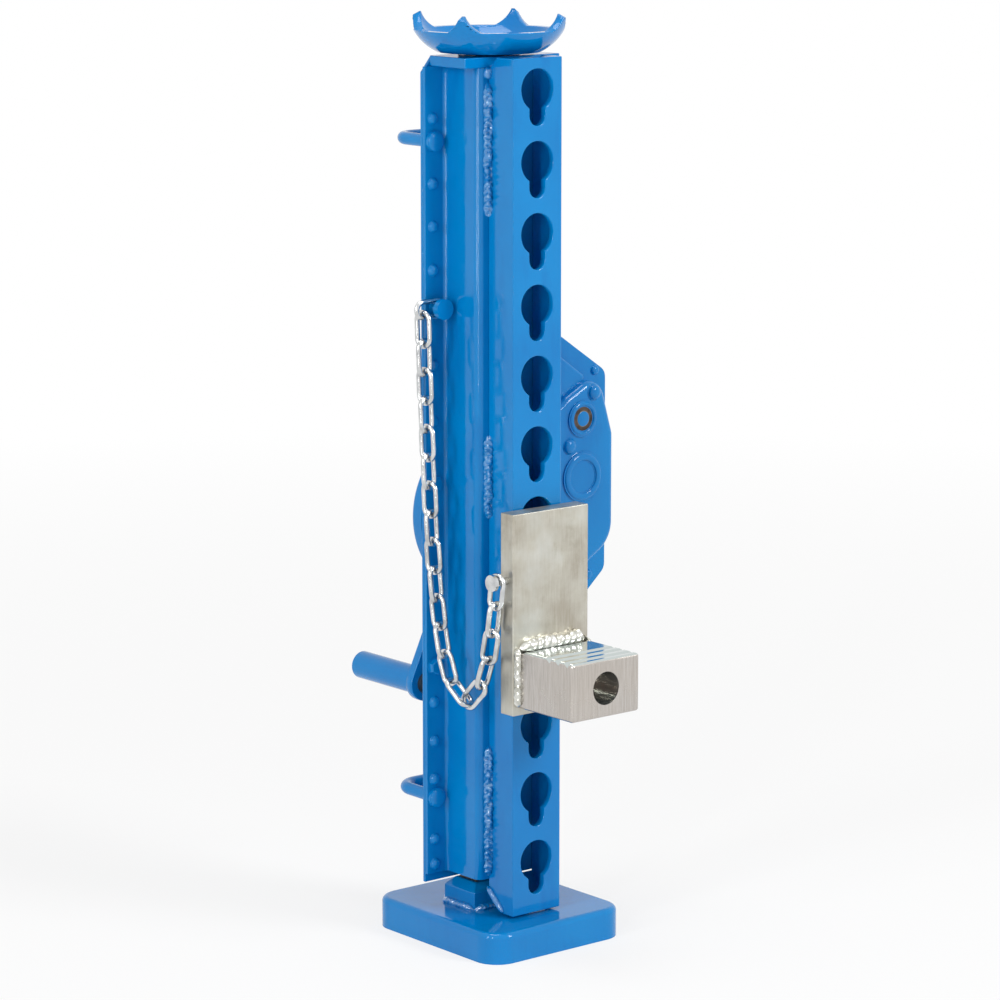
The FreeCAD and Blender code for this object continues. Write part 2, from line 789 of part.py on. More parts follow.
def gear_shape(module, teeth, width, bore, first_tooth):
    """Spur gear about Z; first_tooth is the direction of one tooth's middle, in degrees."""
    pitch = module * teeth / 2
    base = pitch * math.cos(PRESSURE_ANGLE)
    tip = pitch + ADDENDUM * module
    root = pitch - DEDENDUM * module
    half = (math.pi * module / 2 - number("backlash")) / (2 * pitch) + involute(PRESSURE_ANGLE)

    def flank(radius):
        return half - involute(math.acos(min(base / radius, 1)))

    def spot(radius, angle):
        return Vector(radius * math.cos(angle), radius * math.sin(angle), 0)

    low = max(root, base)
    middle = (low + tip) / 2
    edges = []
    step = 2 * math.pi / teeth
    for tooth in range(teeth):
        at = math.radians(first_tooth) + tooth * step
        if base > root:
            edges.append(Part.makeLine(spot(root, at - flank(low)), spot(base, at - flank(low))))
        edges.append(Part.Arc(spot(low, at - flank(low)), spot(middle, at - flank(middle)),
                              spot(tip, at - flank(tip))).toShape())
        edges.append(Part.Arc(spot(tip, at - flank(tip)), spot(tip, at),
                              spot(tip, at + flank(tip))).toShape())
        edges.append(Part.Arc(spot(tip, at + flank(tip)), spot(middle, at + flank(middle)),
                              spot(low, at + flank(low))).toShape())
        if base > root:
            edges.append(Part.makeLine(spot(base, at + flank(low)), spot(root, at + flank(low))))
        edges.append(Part.Arc(spot(root, at + flank(low)), spot(root, at + step / 2),
                              spot(root, at + step - flank(low))).toShape())
    disc = Part.Face(Part.Wire(edges))
    hole = Part.Face(Part.Wire(Part.makeCircle(bore)))
    return disc.cut(hole).extrude(Vector(0, 0, width))


def gear(label, module, teeth, bore, x, z, near, far, towards, gap):
    """Gear on an axis along Y, with a tooth, or a gap, in the direction given in degrees."""
    count = int(round(number(teeth)))
    first = towards + (180 / count if gap else 0)
    shape = gear_shape(number(module), count, number("(%s) - (%s)" % (far, near)),
                       number(bore + " + seat_fit"), first)
    stand = FreeCAD.Rotation(Vector(1, 0, 0), 90)
    place = FreeCAD.Placement(Vector(number(x), number(far), number(z)), stand)
    keep(feature(label, shape, place), label)


def build_gears():
    """Three gear pairs: crank to intermediate shaft, that to the output shaft, and the rack."""
    run = number("output_x - gear_x")
    fall = number("output_z - mid_z")
    to_output = math.degrees(math.atan2(fall, run))
    gear("crank_pinion", "first_module", "crank_teeth", "crank_shaft_radius", "gear_x", "crank_z",
         "first_near", "first_far", -90, False)
    gear("mid_gear", "first_module", "mid_teeth", "mid_shaft_radius", "gear_x", "mid_z",
         "first_near", "first_far", 90, True)
    gear("mid_pinion", "second_module", "mid_pinion_teeth", "mid_shaft_radius", "gear_x", "mid_z",
         "second_near", "second_far", to_output, False)
    gear("output_gear", "second_module", "output_teeth", "output_shaft_radius", "output_x",
         "output_z", "second_near", "second_far", to_output + 180, True)
    gear("rack_pinion", "rack_module", "rack_pinion_teeth", "output_shaft_radius", "output_x",
         "output_z", "head_y - rack_pinion_width / 2", "head_y + rack_pinion_width / 2", 180, False)

    keep(along_y("crank_shaft", "gear_x", "crank_z", "crank_shaft_radius",
                 "cover_front - boss_proud", "arm_y + arm_thick + 2"), "crank_shaft")
    keep(along_y("mid_shaft", "gear_x", "mid_z", "mid_shaft_radius",
                 "cover_front + 0.5", "rear_back - 0.5"), "mid_shaft")
    keep(along_y("output_shaft", "output_x", "output_z", "output_shaft_radius",
                 "rack_near - 10", "rear_back - 0.5"), "output_shaft")


def build_bushes():
    through = ("flange_front", "plate_back")
    front = ("cover_front - boss_proud", "cover_front + cover_wall + 1")
    rear = ("rear_back - cover_wall", "rear_back + rear_boss_proud")
    crank = "crank_shaft_radius + running_fit"
    keep(group("crank_bushes", [
        ring("crank_bush_front", "gear_x", "crank_z", crank, "crank_bush_radius", *front),
        ring("crank_bush_plate", "gear_x", "crank_z", crank, "crank_bush_radius", *through),
        ring("crank_bush_rear", "gear_x", "crank_z", crank, "crank_bush_radius", *rear),
    ]), "crank_bushes")
    middle = "mid_shaft_radius + running_fit"
    keep(group("mid_bushes", [
        ring("mid_bush_front", "gear_x", "mid_z", middle, "mid_bush_radius",
             "cover_front + 0.2", "cover_front + cover_wall + 1"),
        ring("mid_bush_plate", "gear_x", "mid_z", middle, "mid_bush_radius", *through),
        ring("mid_bush_rear", "gear_x", "mid_z", middle, "mid_bush_radius",
             "rear_back - cover_wall", "rear_back"),
    ]), "mid_bushes")
    output = "output_shaft_radius + running_fit"
    keep(group("output_bushes", [
        ring("output_bush_plate", "output_x", "output_z", output, "output_bush_radius",
             "flange_back", "plate_back"),
        ring("output_bush_rear", "output_x", "output_z", output, "output_bush_radius",
             "rear_back - cover_wall", "rear_back"),
    ]), "output_bushes")
    keep(along_y("bearing_cap", "gear_x", "mid_z", "mid_bush_radius",
                 "cover_front - boss_proud + 0.3", "cover_front"), "bearing_cap")


def front_corners():
    """Corners of the front gear cover as (x, z, radius of the corner)."""
    left = number("shaft_half")
    right = number("cover_reach")
    big = number("cover_big_round")
    small = number("cover_round")
    return [
        (left, number("mid_z - cover_drop"), 0),
        (number("cover_foot_x"), number("mid_z - cover_drop"), big),
        (right, number("mid_z - cover_side_drop"), big),
        (right, number("mid_z + cover_side_rise"), small),
        (number("cover_peak_x"), number("crank_z + cover_over"), small),
        (number("cover_shoulder_x"), number("crank_z + cover_over / 2"), small),
        (left, number("crank_z - cover_over / 3"), 0)]


def rounded_face(corners):
    """Face in the XZ plane with the given corners, each rounded by its own radius."""
    spots = []
    for index, (x, z, radius) in enumerate(corners):
        here = Vector(x, 0, z)
        before = Vector(corners[index - 1][0], 0, corners[index - 1][1]) - here
        following = corners[(index + 1) % len(corners)]
        after = Vector(following[0], 0, following[1]) - here
        half = before.getAngle(after) / 2
        before.normalize()
        after.normalize()
        reach = radius / math.tan(half)
        middle = here + (before + after).normalize() * (radius / math.sin(half) - radius)
        spots.append((here + before * reach, middle, here + after * reach, radius > 0))
    edges = []
    for index, (begin, middle, finish, is_round) in enumerate(spots):
        if is_round:
            edges.append(Part.Arc(begin, middle, finish).toShape())
        edges.append(Part.makeLine(finish, spots[(index + 1) % len(spots)][0]))
    return Part.Face(Part.Wire(edges))


def slab(corners, near, far, grow=0.0):
    """Plate with the given corners between two Y places, grown or shrunk all round."""
    face = rounded_face(corners)
    if grow:
        face = face.makeOffset2D(grow)
    face.translate(Vector(0, near, 0))
    return face.extrude(Vector(0, far - near, 0))


def disc(x, z, radius, near, far):
    return Part.makeCylinder(radius, far - near, Vector(x, near, z), Vector(0, 1, 0))


def keep_right_of(shape, limit):
    """Cut away what lies left of the shaft's wall."""
    box = shape.BoundBox
    tool = Part.makeBox(limit - box.XMin + 50, 200, 800, Vector(box.XMin - 50, -100, 0))
    return shape.cut(tool)


def build_front_cover():
    """Pressed cover over the first gear pair, open where it meets the shaft and the plate."""
    corners = front_corners()
    near = number("cover_front")
    far = number("flange_front")
    wall = number("cover_wall")
    left = number("shaft_half")
    dome = slab(corners, near, far)
    front_edges = [edge for edge in dome.Edges
                   if all(abs(vertex.Y - near) < 1e-6 for vertex in edge.Vertexes)
                   and edge.CenterOfMass.x > left + 1]
    dome = dome.makeFillet(number("cover_edge"), front_edges)
    lip = slab(corners, far - wall, far, number("cover_lip"))
    hollow = slab(corners, near + wall, far + 1, -wall)
    opening = hollow.BoundBox
    mouth = Part.makeBox(wall + 2, far - near - wall + 1, opening.ZLength,
                         Vector(left - 1, near + wall, opening.ZMin))
    bend_room = number("bend - sheet") + 0.3
    bend = Part.makeBox(bend_room + 1, bend_room + 1, opening.ZLength + 40,
                        Vector(left - 1, far - bend_room, opening.ZMin - 20))
    x = number("gear_x")
    crank_z = number("crank_z")
    mid_z = number("mid_z")
    proud = near - number("boss_proud")
    bosses = disc(x, crank_z, number("crank_boss"), proud, near + wall)
    bosses = bosses.fuse(disc(x, mid_z, number("mid_boss"), proud, near + wall))
    cover = dome.fuse(keep_right_of(lip, left)).cut(hollow).cut(mouth).cut(bend).fuse(bosses)
    fit = number("seat_fit")
    cover = cover.cut(disc(x, crank_z, number("crank_bush_radius") + fit, proud - 1, far))
    cover = cover.cut(disc(x, mid_z, number("mid_bush_radius") + fit, proud - 1, far))
    keep(feature("gear_cover_front", cover.removeSplitter()), "gear_cover_front")


def belt(circles):
    """Wire round a row of circles, given anticlockwise as (x, z, radius) seen from +Y to -Y."""
    edges = []
    contacts = []
    for index, (x, z, radius) in enumerate(circles):
        nx, nz, nradius = circles[(index + 1) % len(circles)]
        distance = math.hypot(nx - x, nz - z)
        heading = math.atan2(nz - z, nx - x)
        lean = heading - math.acos((radius - nradius) / distance)
        contacts.append((lean, (x, z, radius), (nx, nz, nradius)))

    def spot(circle_data, angle):
        x, z, radius = circle_data
        return Vector(x + radius * math.cos(angle), 0, z + radius * math.sin(angle))

    for index, (lean, here, there) in enumerate(contacts):
        edges.append(Part.makeLine(spot(here, lean), spot(there, lean)))
        after = contacts[(index + 1) % len(contacts)][0]
        sweep = (after - lean) % (2 * math.pi)
        edges.append(Part.Arc(spot(there, lean), spot(there, lean + sweep / 2),
                              spot(there, lean + sweep)).toShape())
    return Part.Wire(edges)


def build_rear_cover():
    """Pressed cover round the second gear pair and the crank shaft."""
    near = number("plate_back")
    far = number("rear_back")
    wall = number("cover_wall")
    lip = number("cover_lip")
    big = number("second_module * (output_teeth / 2 + 0.8) + gear_room")
    x = number("gear_x")
    crank_z = number("crank_z")
    mid_z = number("mid_z")
    output = (number("output_x"), number("output_z"))
    small = number("rear_boss") + 4

    def rounds(grow):
        return [(output[0], output[1], big + grow), (x, mid_z, small + grow), (x, crank_z, small + grow)]

    def solid(grow, low, high):
        face = Part.Face(belt(rounds(grow)))
        face.translate(Vector(0, low, 0))
        return face.extrude(Vector(0, high - low, 0))

    dome = solid(wall, near, far)
    back_edges = [edge for edge in dome.Edges
                  if all(abs(vertex.Y - far) < 1e-6 for vertex in edge.Vertexes)]
    dome = dome.makeFillet(number("cover_edge"), back_edges)
    cover = dome.fuse(solid(wall + lip, near, near + wall))
    cover = cover.cut(solid(0, near - 1, far - wall))
    boss = disc(x, crank_z, number("rear_boss"), far - wall, far + number("rear_boss_proud"))
    cover = cover.fuse(boss)
    fit = number("seat_fit")
    cover = cover.cut(disc(x, crank_z, number("crank_bush_radius") + fit, near, far + 10))
    cover = cover.cut(disc(x, mid_z, number("mid_bush_radius") + fit, near, far + 10))
    cover = cover.cut(disc(*output, number("output_bush_radius") + fit, near, far + 10))
    keep(feature("gear_cover_rear", cover.removeSplitter()), "gear_cover_rear")


def build_cover_bolts():
    """Round-headed bolts on the face of the front cover."""
    bolts = []
    high = number("cover_bolt_high")
    radius = number("cover_bolt_radius")
    for across, up in COVER_BOLTS:
        spot = Vector(number("gear_x") + across, number("cover_front"), number("crank_z") + up)
        place = FreeCAD.Placement(spot, FreeCAD.Rotation(Vector(1, 0, 0), 90))
        bolts.append(feature("cover_bolt", Part.makeCone(radius, radius * 0.6, high), place))
    keep(group("cover_bolts", bolts), "cover_bolts")


def build_crank():
    """Safety crank: brake hub on the shaft, flat arm, pin and a loose grip."""
    keep(ring("crank_hub", "gear_x", "crank_z", "crank_shaft_radius + seat_fit", "hub_radius",
              "arm_y - hub_length", "arm_y"), "crank_hub")
    angle = math.radians(number("crank_angle"))
    x = number("gear_x")
    z = number("crank_z")
    reach = number("crank_radius")
    end_x = x + reach * math.cos(angle)
    end_z = z + reach * math.sin(angle)
    near = number("arm_y")
    far = near + number("arm_thick")
    half = number("arm_width") / 2
    face = Part.Face(belt([(x, z, half * 1.25), (end_x, end_z, half)]))
    face.translate(Vector(0, near, 0))
    arm = face.extrude(Vector(0, far - near, 0))
    fit = number("seat_fit")
    arm = arm.cut(disc(x, z, number("crank_shaft_radius") + fit, near - 1, far + 1))
    arm = arm.cut(disc(end_x, end_z, number("grip_pin_radius") + fit, near - 1, far + 1))
    keep(feature("crank_arm", arm), "crank_arm")

    stand = FreeCAD.Rotation(Vector(1, 0, 0), -90)
    nut = Part.Face(Part.Wire(hexagon(number("nut_across")))).extrude(Vector(0, 0, number("nut_high")))
    nut = nut.cut(Part.makeCylinder(number("crank_shaft_radius") + fit, 2.5))
    keep(feature("crank_nut", nut, FreeCAD.Placement(Vector(x, far, z), stand)), "crank_nut")

    length = number("grip_length")
    gap = number("grip_gap")
    pin_radius = number("grip_pin_radius")
    pin = disc(end_x, end_z, pin_radius, near, far + gap + length - 6)
    pin = pin.fuse(disc(end_x, end_z, pin_radius + 3, near - 3, near))
    keep(feature("grip_pin", pin.removeSplitter()), "grip_pin")

    grip = new_body("grip")
    inner = "grip_pin_radius + running_fit"
    revolve(grip, [
        (inner, "0"), ("grip_radius - 1", "0"), ("grip_radius", "1"),
        ("grip_radius", "grip_length - 4"), ("grip_radius - 4", "grip_length"),
        ("0", "grip_length"), ("0", "grip_length - 5"), (inner, "grip_length - 5")])
    grip.Placement = FreeCAD.Placement(Vector(end_x, far + gap, end_z), stand)


def hexagon(across):
    """Edges of a hexagon with the given width across its flats."""
    radius = across / math.sqrt(3)
    corners = [Vector(radius * math.cos(math.radians(60 * step)),
                      radius * math.sin(math.radians(60 * step)), 0) for step in range(6)]
    return [Part.makeLine(corners[step], corners[(step + 1) % 6]) for step in range(6)]


def build_handle(label, height):
    """Bent rod through flange and plate, its front ends peened over."""
    pieces = []
    front = "flange_front"
    for side in ("-", ""):
        x = side + "handle_half"
        pieces.append(along_y(label + "_leg", x, height, "handle_rod", front,
                              "handle_reach - handle_bend"))
        pieces.append(along_y(label + "_peen", x, height, "peen_radius", front + " - peen_high", front))
    pieces.append(cylinder(label + "_bar", "x", "handle_bend - handle_half", "handle_reach", height,
                           "handle_rod", "2 * (handle_half - handle_bend)"))
    for side, start in (("-", 90), ("", 0)):
        corner = doc.addObject("Part::Torus", label + "_corner")
        corner.setExpression("Radius1", bound("handle_bend"))
        corner.setExpression("Radius2", bound("handle_rod"))
        corner.Angle3 = 90
        corner.Placement = FreeCAD.Placement(Vector(), FreeCAD.Rotation(Vector(0, 0, 1), start))
        locate(corner, side + "(handle_half - handle_bend)", "handle_reach - handle_bend", height)
        pieces.append(corner)
    keep(fuse(label, pieces), label)


def build_fasteners():
    rivets = []
    for z in RIVET_HEIGHTS:
        for side in (-1, 1):
            place = FreeCAD.Placement(Vector(side * number("rivet_x"), number("flange_front"), z),
                                      FreeCAD.Rotation(Vector(1, 0, 0), 90))
            shape = Part.makeCone(number("rivet_radius"), number("rivet_radius") * 0.6,
                                  number("rivet_high"))
            rivets.append(feature("flange_rivet", shape, place))
    keep(group("flange_rivets", rivets), "flange_rivets")

    bolts = []
    for z in HEX_BOLT_HEIGHTS:
        for side in (-1, 1):
            place = FreeCAD.Placement(Vector(side * number("rivet_x"), number("flange_front"), z),
                                      FreeCAD.Rotation(Vector(1, 0, 0), 90))
            face = Part.Face(Part.Wire(hexagon(number("flange_bolt_across"))))
            shape = face.extrude(Vector(0, 0, number("flange_bolt_high")))
            bolts.append(feature("flange_bolt", shape, place))
    keep(group("flange_bolts", bolts), "flange_bolts")

    anchor_x = "-rivet_x"
    keep(fuse("anchor_bolt", [
        along_y("anchor_shank", anchor_x, "anchor_z", "anchor_radius", "anchor_head_y", "flange_front"),
        along_y("anchor_cap", anchor_x, "anchor_z", "anchor_head",
                "anchor_head_y - anchor_head_high", "anchor_head_y"),
    ]), "anchor_bolt")


WIRE_SIDES = 8
END_CORNERS = 4


def link_shape():
    """One link, long axis X, in the XY plane: eight-sided wire, mitred at each corner of its ends."""
    wire = number("wire") / 2
    bend = number("link_width") / 2 - wire
    half = number("link_length") / 2 - wire - bend
    turn = math.pi / END_CORNERS
    stretch = 1 / math.cos(turn / 2)
    rings = []
    for corner in range(2 * END_CORNERS):
        angle = turn * (corner + 0.5) - math.pi / 2
        shift = half if corner < END_CORNERS else -half
        ring_points = []
        for side in range(WIRE_SIDES):
            around = 2 * math.pi * (side + 0.5) / WIRE_SIDES
            reach = (bend + wire * math.cos(around)) * stretch
            ring_points.append(Vector(shift + reach * math.cos(angle), reach * math.sin(angle),
                                      wire * math.sin(around)))
        rings.append(ring_points)
    faces = []
    for index, corners in enumerate(rings):
        after = rings[(index + 1) % len(rings)]
        for turn in range(WIRE_SIDES):
            other = (turn + 1) % WIRE_SIDES
            quad = [corners[turn], after[turn], after[other], corners[other], corners[turn]]
            faces.append(Part.Face(Part.makePolygon(quad)))
    return Part.Solid(Part.makeShell(faces))


def hanging_directions(span, rise, pitch, count):
    """Directions of equal links that hang between two points, as (across, up) pairs."""
    def total(turning, pull):
        across = 0
        up = 0
        for index in range(count):
            weight = index + 0.5 - turning
            length = math.hypot(pull, weight)
            across += pitch * pull / length
            up += pitch * weight / length
        return across, up

    def pull_for(turning):
        low = 1e-4
        high = 1e4
        for _ in range(100):
            middle = math.sqrt(low * high)
            if total(turning, middle)[0] < span:
                low = middle
            else:
                high = middle
        return low

    low = 0.0
    high = float(count)
    for _ in range(100):
        turning = (low + high) / 2
        if total(turning, pull_for(turning))[1] > rise:
            low = turning
        else:
            high = turning
    pull = pull_for(low)
    result = []
    for index in range(count):
        weight = index + 0.5 - low
        length = math.hypot(pull, weight)
        result.append((pull / length, weight / length))
    return result


def build_chain():
    """Twenty links: the first lies on the anchor bolt, the rest hang to the claw's pin."""
    pitch = number("link_length") - 2 * number("wire") - number("link_play")
    first_hold = Vector(number("-rivet_x"), number("flange_front - anchor_stand / 2"),
                        number("anchor_z"))
    inner_half = number("link_length") / 2 - number("wire")
    play = number("link_play")
    link = link_shape()
    links = []
    centre = first_hold + Vector(number("anchor_radius") + play - inner_half, 0, 0)
    upright_place = FreeCAD.Placement(centre, FreeCAD.Rotation(Vector(1, 0, 0), 90))
    links.append(feature("chain_link", link, upright_place))
    wire = number("wire") / 2
    bend = number("link_width") / 2 - wire
    straight = number("link_length") / 2 - wire - bend
    start = centre + Vector(-straight, 0, wire + play / 2 - bend)
    finish = Vector(number("-claw_width / 2 - link_width / 2 - 0.75"), number("chain_pin_y"),
                    number("chain_pin_z + chain_pin_radius") + play / 2)
    ahead = finish - start
    span = math.hypot(ahead.x, ahead.y)
    forward = Vector(ahead.x / span, ahead.y / span, 0)
    sideways = Vector(0, 0, 1).cross(forward)
    count = int(round(number("link_count"))) - 1
    spot = start
    for index, (across, up) in enumerate(hanging_directions(span, ahead.z, pitch, count)):
        along = forward * across + Vector(0, 0, up)
        middle = spot + along * (pitch / 2)
        spot = spot + along * pitch
        over = sideways if index % 2 else along.cross(sideways)
        rotation = FreeCAD.Rotation(along, over, along.cross(over), "XYZ")
        links.append(feature("chain_link", link, FreeCAD.Placement(middle, rotation)))
    keep(group("chain", links), "chain")


def build_claw():
    plate = new_body("claw_plate")
    half = "claw_width / 2"
    pad(plate, "XZ_Plane", "claw_front", "claw_back", rectangle, "-" + half, half,
        "claw_plate_bottom", "claw_plate_top")

    claw = new_body("claw_block")
    low = "block_bottom"
    top = "block_top"
    side = "block_width / 2"
    pad(claw, "YZ_Plane", "-" + side, side, outline, [
        ("block_front", low), ("claw_front", low), ("claw_front", top + " - claw_weld_cut"),
        ("claw_front - claw_weld", top), ("block_front", top)])
    welded = number("claw_front - claw_weld") - 0.01

    def outer_edge(edge):
        return any(vertex.Point.y < welded for vertex in edge.Vertexes)
    round_edges(claw, "block_edge", outer_edge)
    first = "(block_front + 2 * block_edge)"
    groove = pocket(claw, "YZ_Plane", "-%s - 1" % side, side + " + 1", outline, [
        (first, top + " + 1"), (first, top + " - groove_depth"),
        (first + " + groove_depth * 0.4", top + " - groove_depth"),
        (first + " + groove_pitch * 0.8", top + " + 1")])
    step_along(claw, groove, "H_Axis", "groove_pitch", "groove_count - 1")
    pocket(claw, "XZ_Plane", "block_front - 1", "block_front + bore_depth", circle,
           "0", "(block_bottom + block_top) / 2", "bore_radius")

    studs = []
    for step in range(2):
        z = "stud_z - keyhole_pitch * stud_step * %d" % step
        neck_end = "rail_front + rail_wall + stud_gap"
        studs.append(fuse("claw_stud", [
            along_y("stud_neck_rod", "0", z, "stud_neck", "claw_back", neck_end),
            along_y("stud_cap", "0", z, "stud_head", neck_end, neck_end + " + stud_head_thick")]))
    keep(group("claw_studs", studs), "claw_studs")

    front = number("claw_front")
    leg = number("claw_weld")
    half_block = number(side)
    half_plate = number(half)
    beads = []
    corner = Vector(-half_block, front, number(top))
    root = corner - Vector(0, 0, number("claw_weld_cut"))
    points = [root, corner + Vector(0, -leg, 0), corner + Vector(0, 0, leg), root]
    beads.append(feature("claw_weld_top", Part.Face(Part.makePolygon(points)).extrude(
        Vector(2 * half_block, 0, 0))))
    for sign in (-1, 1):
        corner = Vector(sign * half_block, front, number(low))
        points = [corner, corner + Vector(sign * (half_plate - half_block), 0, 0),
                  corner + Vector(0, -leg * 0.7, 0), corner]
        beads.append(feature("claw_weld_side", Part.Face(Part.makePolygon(points)).extrude(
            Vector(0, 0, number(top) - number(low)))))
    keep(group("claw_welds", beads), "claw_welds")

    pin_end = "-claw_width / 2 - chain_pin_stand"
    keep(fuse("chain_pin", [
        cylinder("chain_pin_rod", "x", pin_end, "chain_pin_y", "chain_pin_z", "chain_pin_radius",
                 "chain_pin_stand"),
        cylinder("chain_pin_cap", "x", pin_end + " - chain_pin_head_high", "chain_pin_y",
                 "chain_pin_z", "chain_pin_head", "chain_pin_head_high")]), "chain_pin")


build_foot()
build_rack()
build_shaft()
build_plates()
build_rail()
build_head()
build_guides()
build_gears()
build_bushes()
build_front_cover()
build_rear_cover()
build_cover_bolts()
build_crank()
build_handle("handle_upper", "handle_upper_z")
build_handle("handle_lower", "handle_lower_z")
build_fasteners()
build_chain()
build_claw()
doc.recompute()

for item in doc.Objects:
    if "Invalid" in item.State or "Error" in item.State:
        raise ValueError("failed: " + item.Label)
for piece in parts:
    if piece.Shape.isNull() or not piece.Shape.isValid():
        raise ValueError("bad shape: " + piece.Label)

os.makedirs("parts", exist_ok=True)
for piece in parts:
    piece.Shape.exportStep("parts/%s.step" % piece.Label)
print(len(parts), "nodes,", sum(len(piece.Shape.Solids) for piece in parts), "solids")
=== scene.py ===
import json
import math
import random

import bmesh
import bpy
from mathutils import Matrix, Vector, noise


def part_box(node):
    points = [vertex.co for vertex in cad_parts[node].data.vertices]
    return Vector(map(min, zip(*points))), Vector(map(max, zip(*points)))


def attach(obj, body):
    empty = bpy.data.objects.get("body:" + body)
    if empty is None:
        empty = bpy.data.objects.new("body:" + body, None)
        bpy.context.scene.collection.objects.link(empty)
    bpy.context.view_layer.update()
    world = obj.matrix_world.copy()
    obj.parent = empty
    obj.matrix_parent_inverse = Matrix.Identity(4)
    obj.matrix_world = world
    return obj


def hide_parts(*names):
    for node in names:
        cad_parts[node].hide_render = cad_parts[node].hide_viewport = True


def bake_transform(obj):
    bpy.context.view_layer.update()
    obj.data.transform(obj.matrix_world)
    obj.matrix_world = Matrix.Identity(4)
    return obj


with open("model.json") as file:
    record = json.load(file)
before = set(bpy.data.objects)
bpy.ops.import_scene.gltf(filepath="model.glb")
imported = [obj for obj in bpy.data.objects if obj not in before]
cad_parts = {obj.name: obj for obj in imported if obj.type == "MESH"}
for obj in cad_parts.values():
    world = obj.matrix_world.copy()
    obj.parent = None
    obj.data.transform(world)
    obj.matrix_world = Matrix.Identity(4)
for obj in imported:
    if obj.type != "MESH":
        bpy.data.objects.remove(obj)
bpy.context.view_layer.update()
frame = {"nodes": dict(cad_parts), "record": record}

random.seed(7)

MM = 0.001
MERGE = 0.01 * MM
RIGHT = Vector((1, 0, 0))
FRONT = Vector((0, -1, 0))
UP = Vector((0, 0, 1))


# Node graphs

class Graph:
    """Short way to write a node tree."""

    def __init__(self, tree):
        self.tree = tree
        self.tree.nodes.clear()

    def add(self, kind, **values):
        """Add a node; values name its settings or, with spaces as underscores, its sockets."""
        node = self.tree.nodes.new(kind)
        for key, value in values.items():
            if hasattr(node, key):
                setattr(node, key, value)
            else:
                node.inputs[key.replace("_", " ")].default_value = value
        return node

    def join(self, source, target):
        self.tree.links.new(source, target)

    def seen_directly(self):
        """Value that is 1 for camera, glossy and transmission rays."""
        path = self.add("ShaderNodeLightPath")
        seen = path.outputs["Is Camera Ray"]
        for ray in ("Is Glossy Ray", "Is Transmission Ray"):
            larger = self.add("ShaderNodeMath", operation="MAXIMUM")
            self.join(seen, larger.inputs[0])
            self.join(path.outputs[ray], larger.inputs[1])
            seen = larger.outputs[0]
        return seen


class Finish(Graph):
    """Material with a principled shader, and the patterns that its sockets are joined to."""

    def __init__(self, name):
        self.material = bpy.data.materials.new(name)
        self.material.use_nodes = True
        super().__init__(self.material.node_tree)
        self.shader = self.add("ShaderNodeBsdfPrincipled")
        self.output = self.add("ShaderNodeOutputMaterial")
        self.join(self.shader.outputs[0], self.output.inputs["Surface"])
        self.place = self.add("ShaderNodeTexCoord").outputs["Object"]

    def stretch(self, x, y, z):
        """Object coordinates scaled along each axis."""
        node = self.add("ShaderNodeMapping", Scale=(x, y, z))
        self.join(self.place, node.inputs["Vector"])
        return node.outputs[0]

    def noise(self, scale, detail=3.0, roughness=0.5, where=None):
        """Cloudy pattern; scale counts its spots along a metre."""
        node = self.add("ShaderNodeTexNoise", Scale=scale, Detail=detail, Roughness=roughness)
        self.join(where or self.place, node.inputs["Vector"])
        return node.outputs["Fac"]

    def ramp(self, source, stops):
        """Colours or grey values at places along a pattern's range."""
        node = self.add("ShaderNodeValToRGB")
        elements = node.color_ramp.elements
        while len(elements) < len(stops):
            elements.new(0.5)
        for element, (position, colour) in zip(elements, stops):
            element.position = position
            shade = colour if isinstance(colour, tuple) else (colour, colour, colour)
            element.color = (*shade, 1)
        self.join(source, node.inputs["Fac"])
        return node.outputs["Color"]

    def mix(self, factor, first, second):
        """Blend of two colours, each written out or taken from a socket, by a pattern."""
        node = self.add("ShaderNodeMix", data_type="RGBA")
        self.join(factor, node.inputs[0])
        for socket, value in ((node.inputs[6], first), (node.inputs[7], second)):
            if isinstance(value, tuple):
                socket.default_value = (*value, 1)
            else:
                self.join(value, socket)
        return node.outputs[2]

    def spread(self, source, low, high):
        """Map the middle of a noise to a range of values."""
        node = self.add("ShaderNodeMapRange", From_Min=0.3, From_Max=0.7, To_Min=low, To_Max=high)
        self.join(source, node.inputs["Value"])
        return node.outputs[0]

    def bump(self, source, strength, distance, under=None):
        """Surface normal with a pattern's relief, over the relief of another bump."""
        node = self.add("ShaderNodeBump", Strength=strength, Distance=distance)
        self.join(source, node.inputs["Height"])
        if under:
            self.join(under, node.inputs["Normal"])
        return node.outputs[0]

    def set(self, **sockets):
        """Set or join the shader's sockets and hand back the material."""
        for key, value in sockets.items():
            socket = self.shader.inputs[key.replace("_", " ")]
            if isinstance(value, (int, float)):
                socket.default_value = value
            elif isinstance(value, tuple):
                socket.default_value = (*value, 1)
            else:
                self.join(value, socket)
        return self.material


def linear(red, green, blue):
    """Colour written as it shows on screen, 0 to 255, in the renderer's own units."""
    return tuple(pow(part / 255, 2.2) for part in (red, green, blue))


# Materials

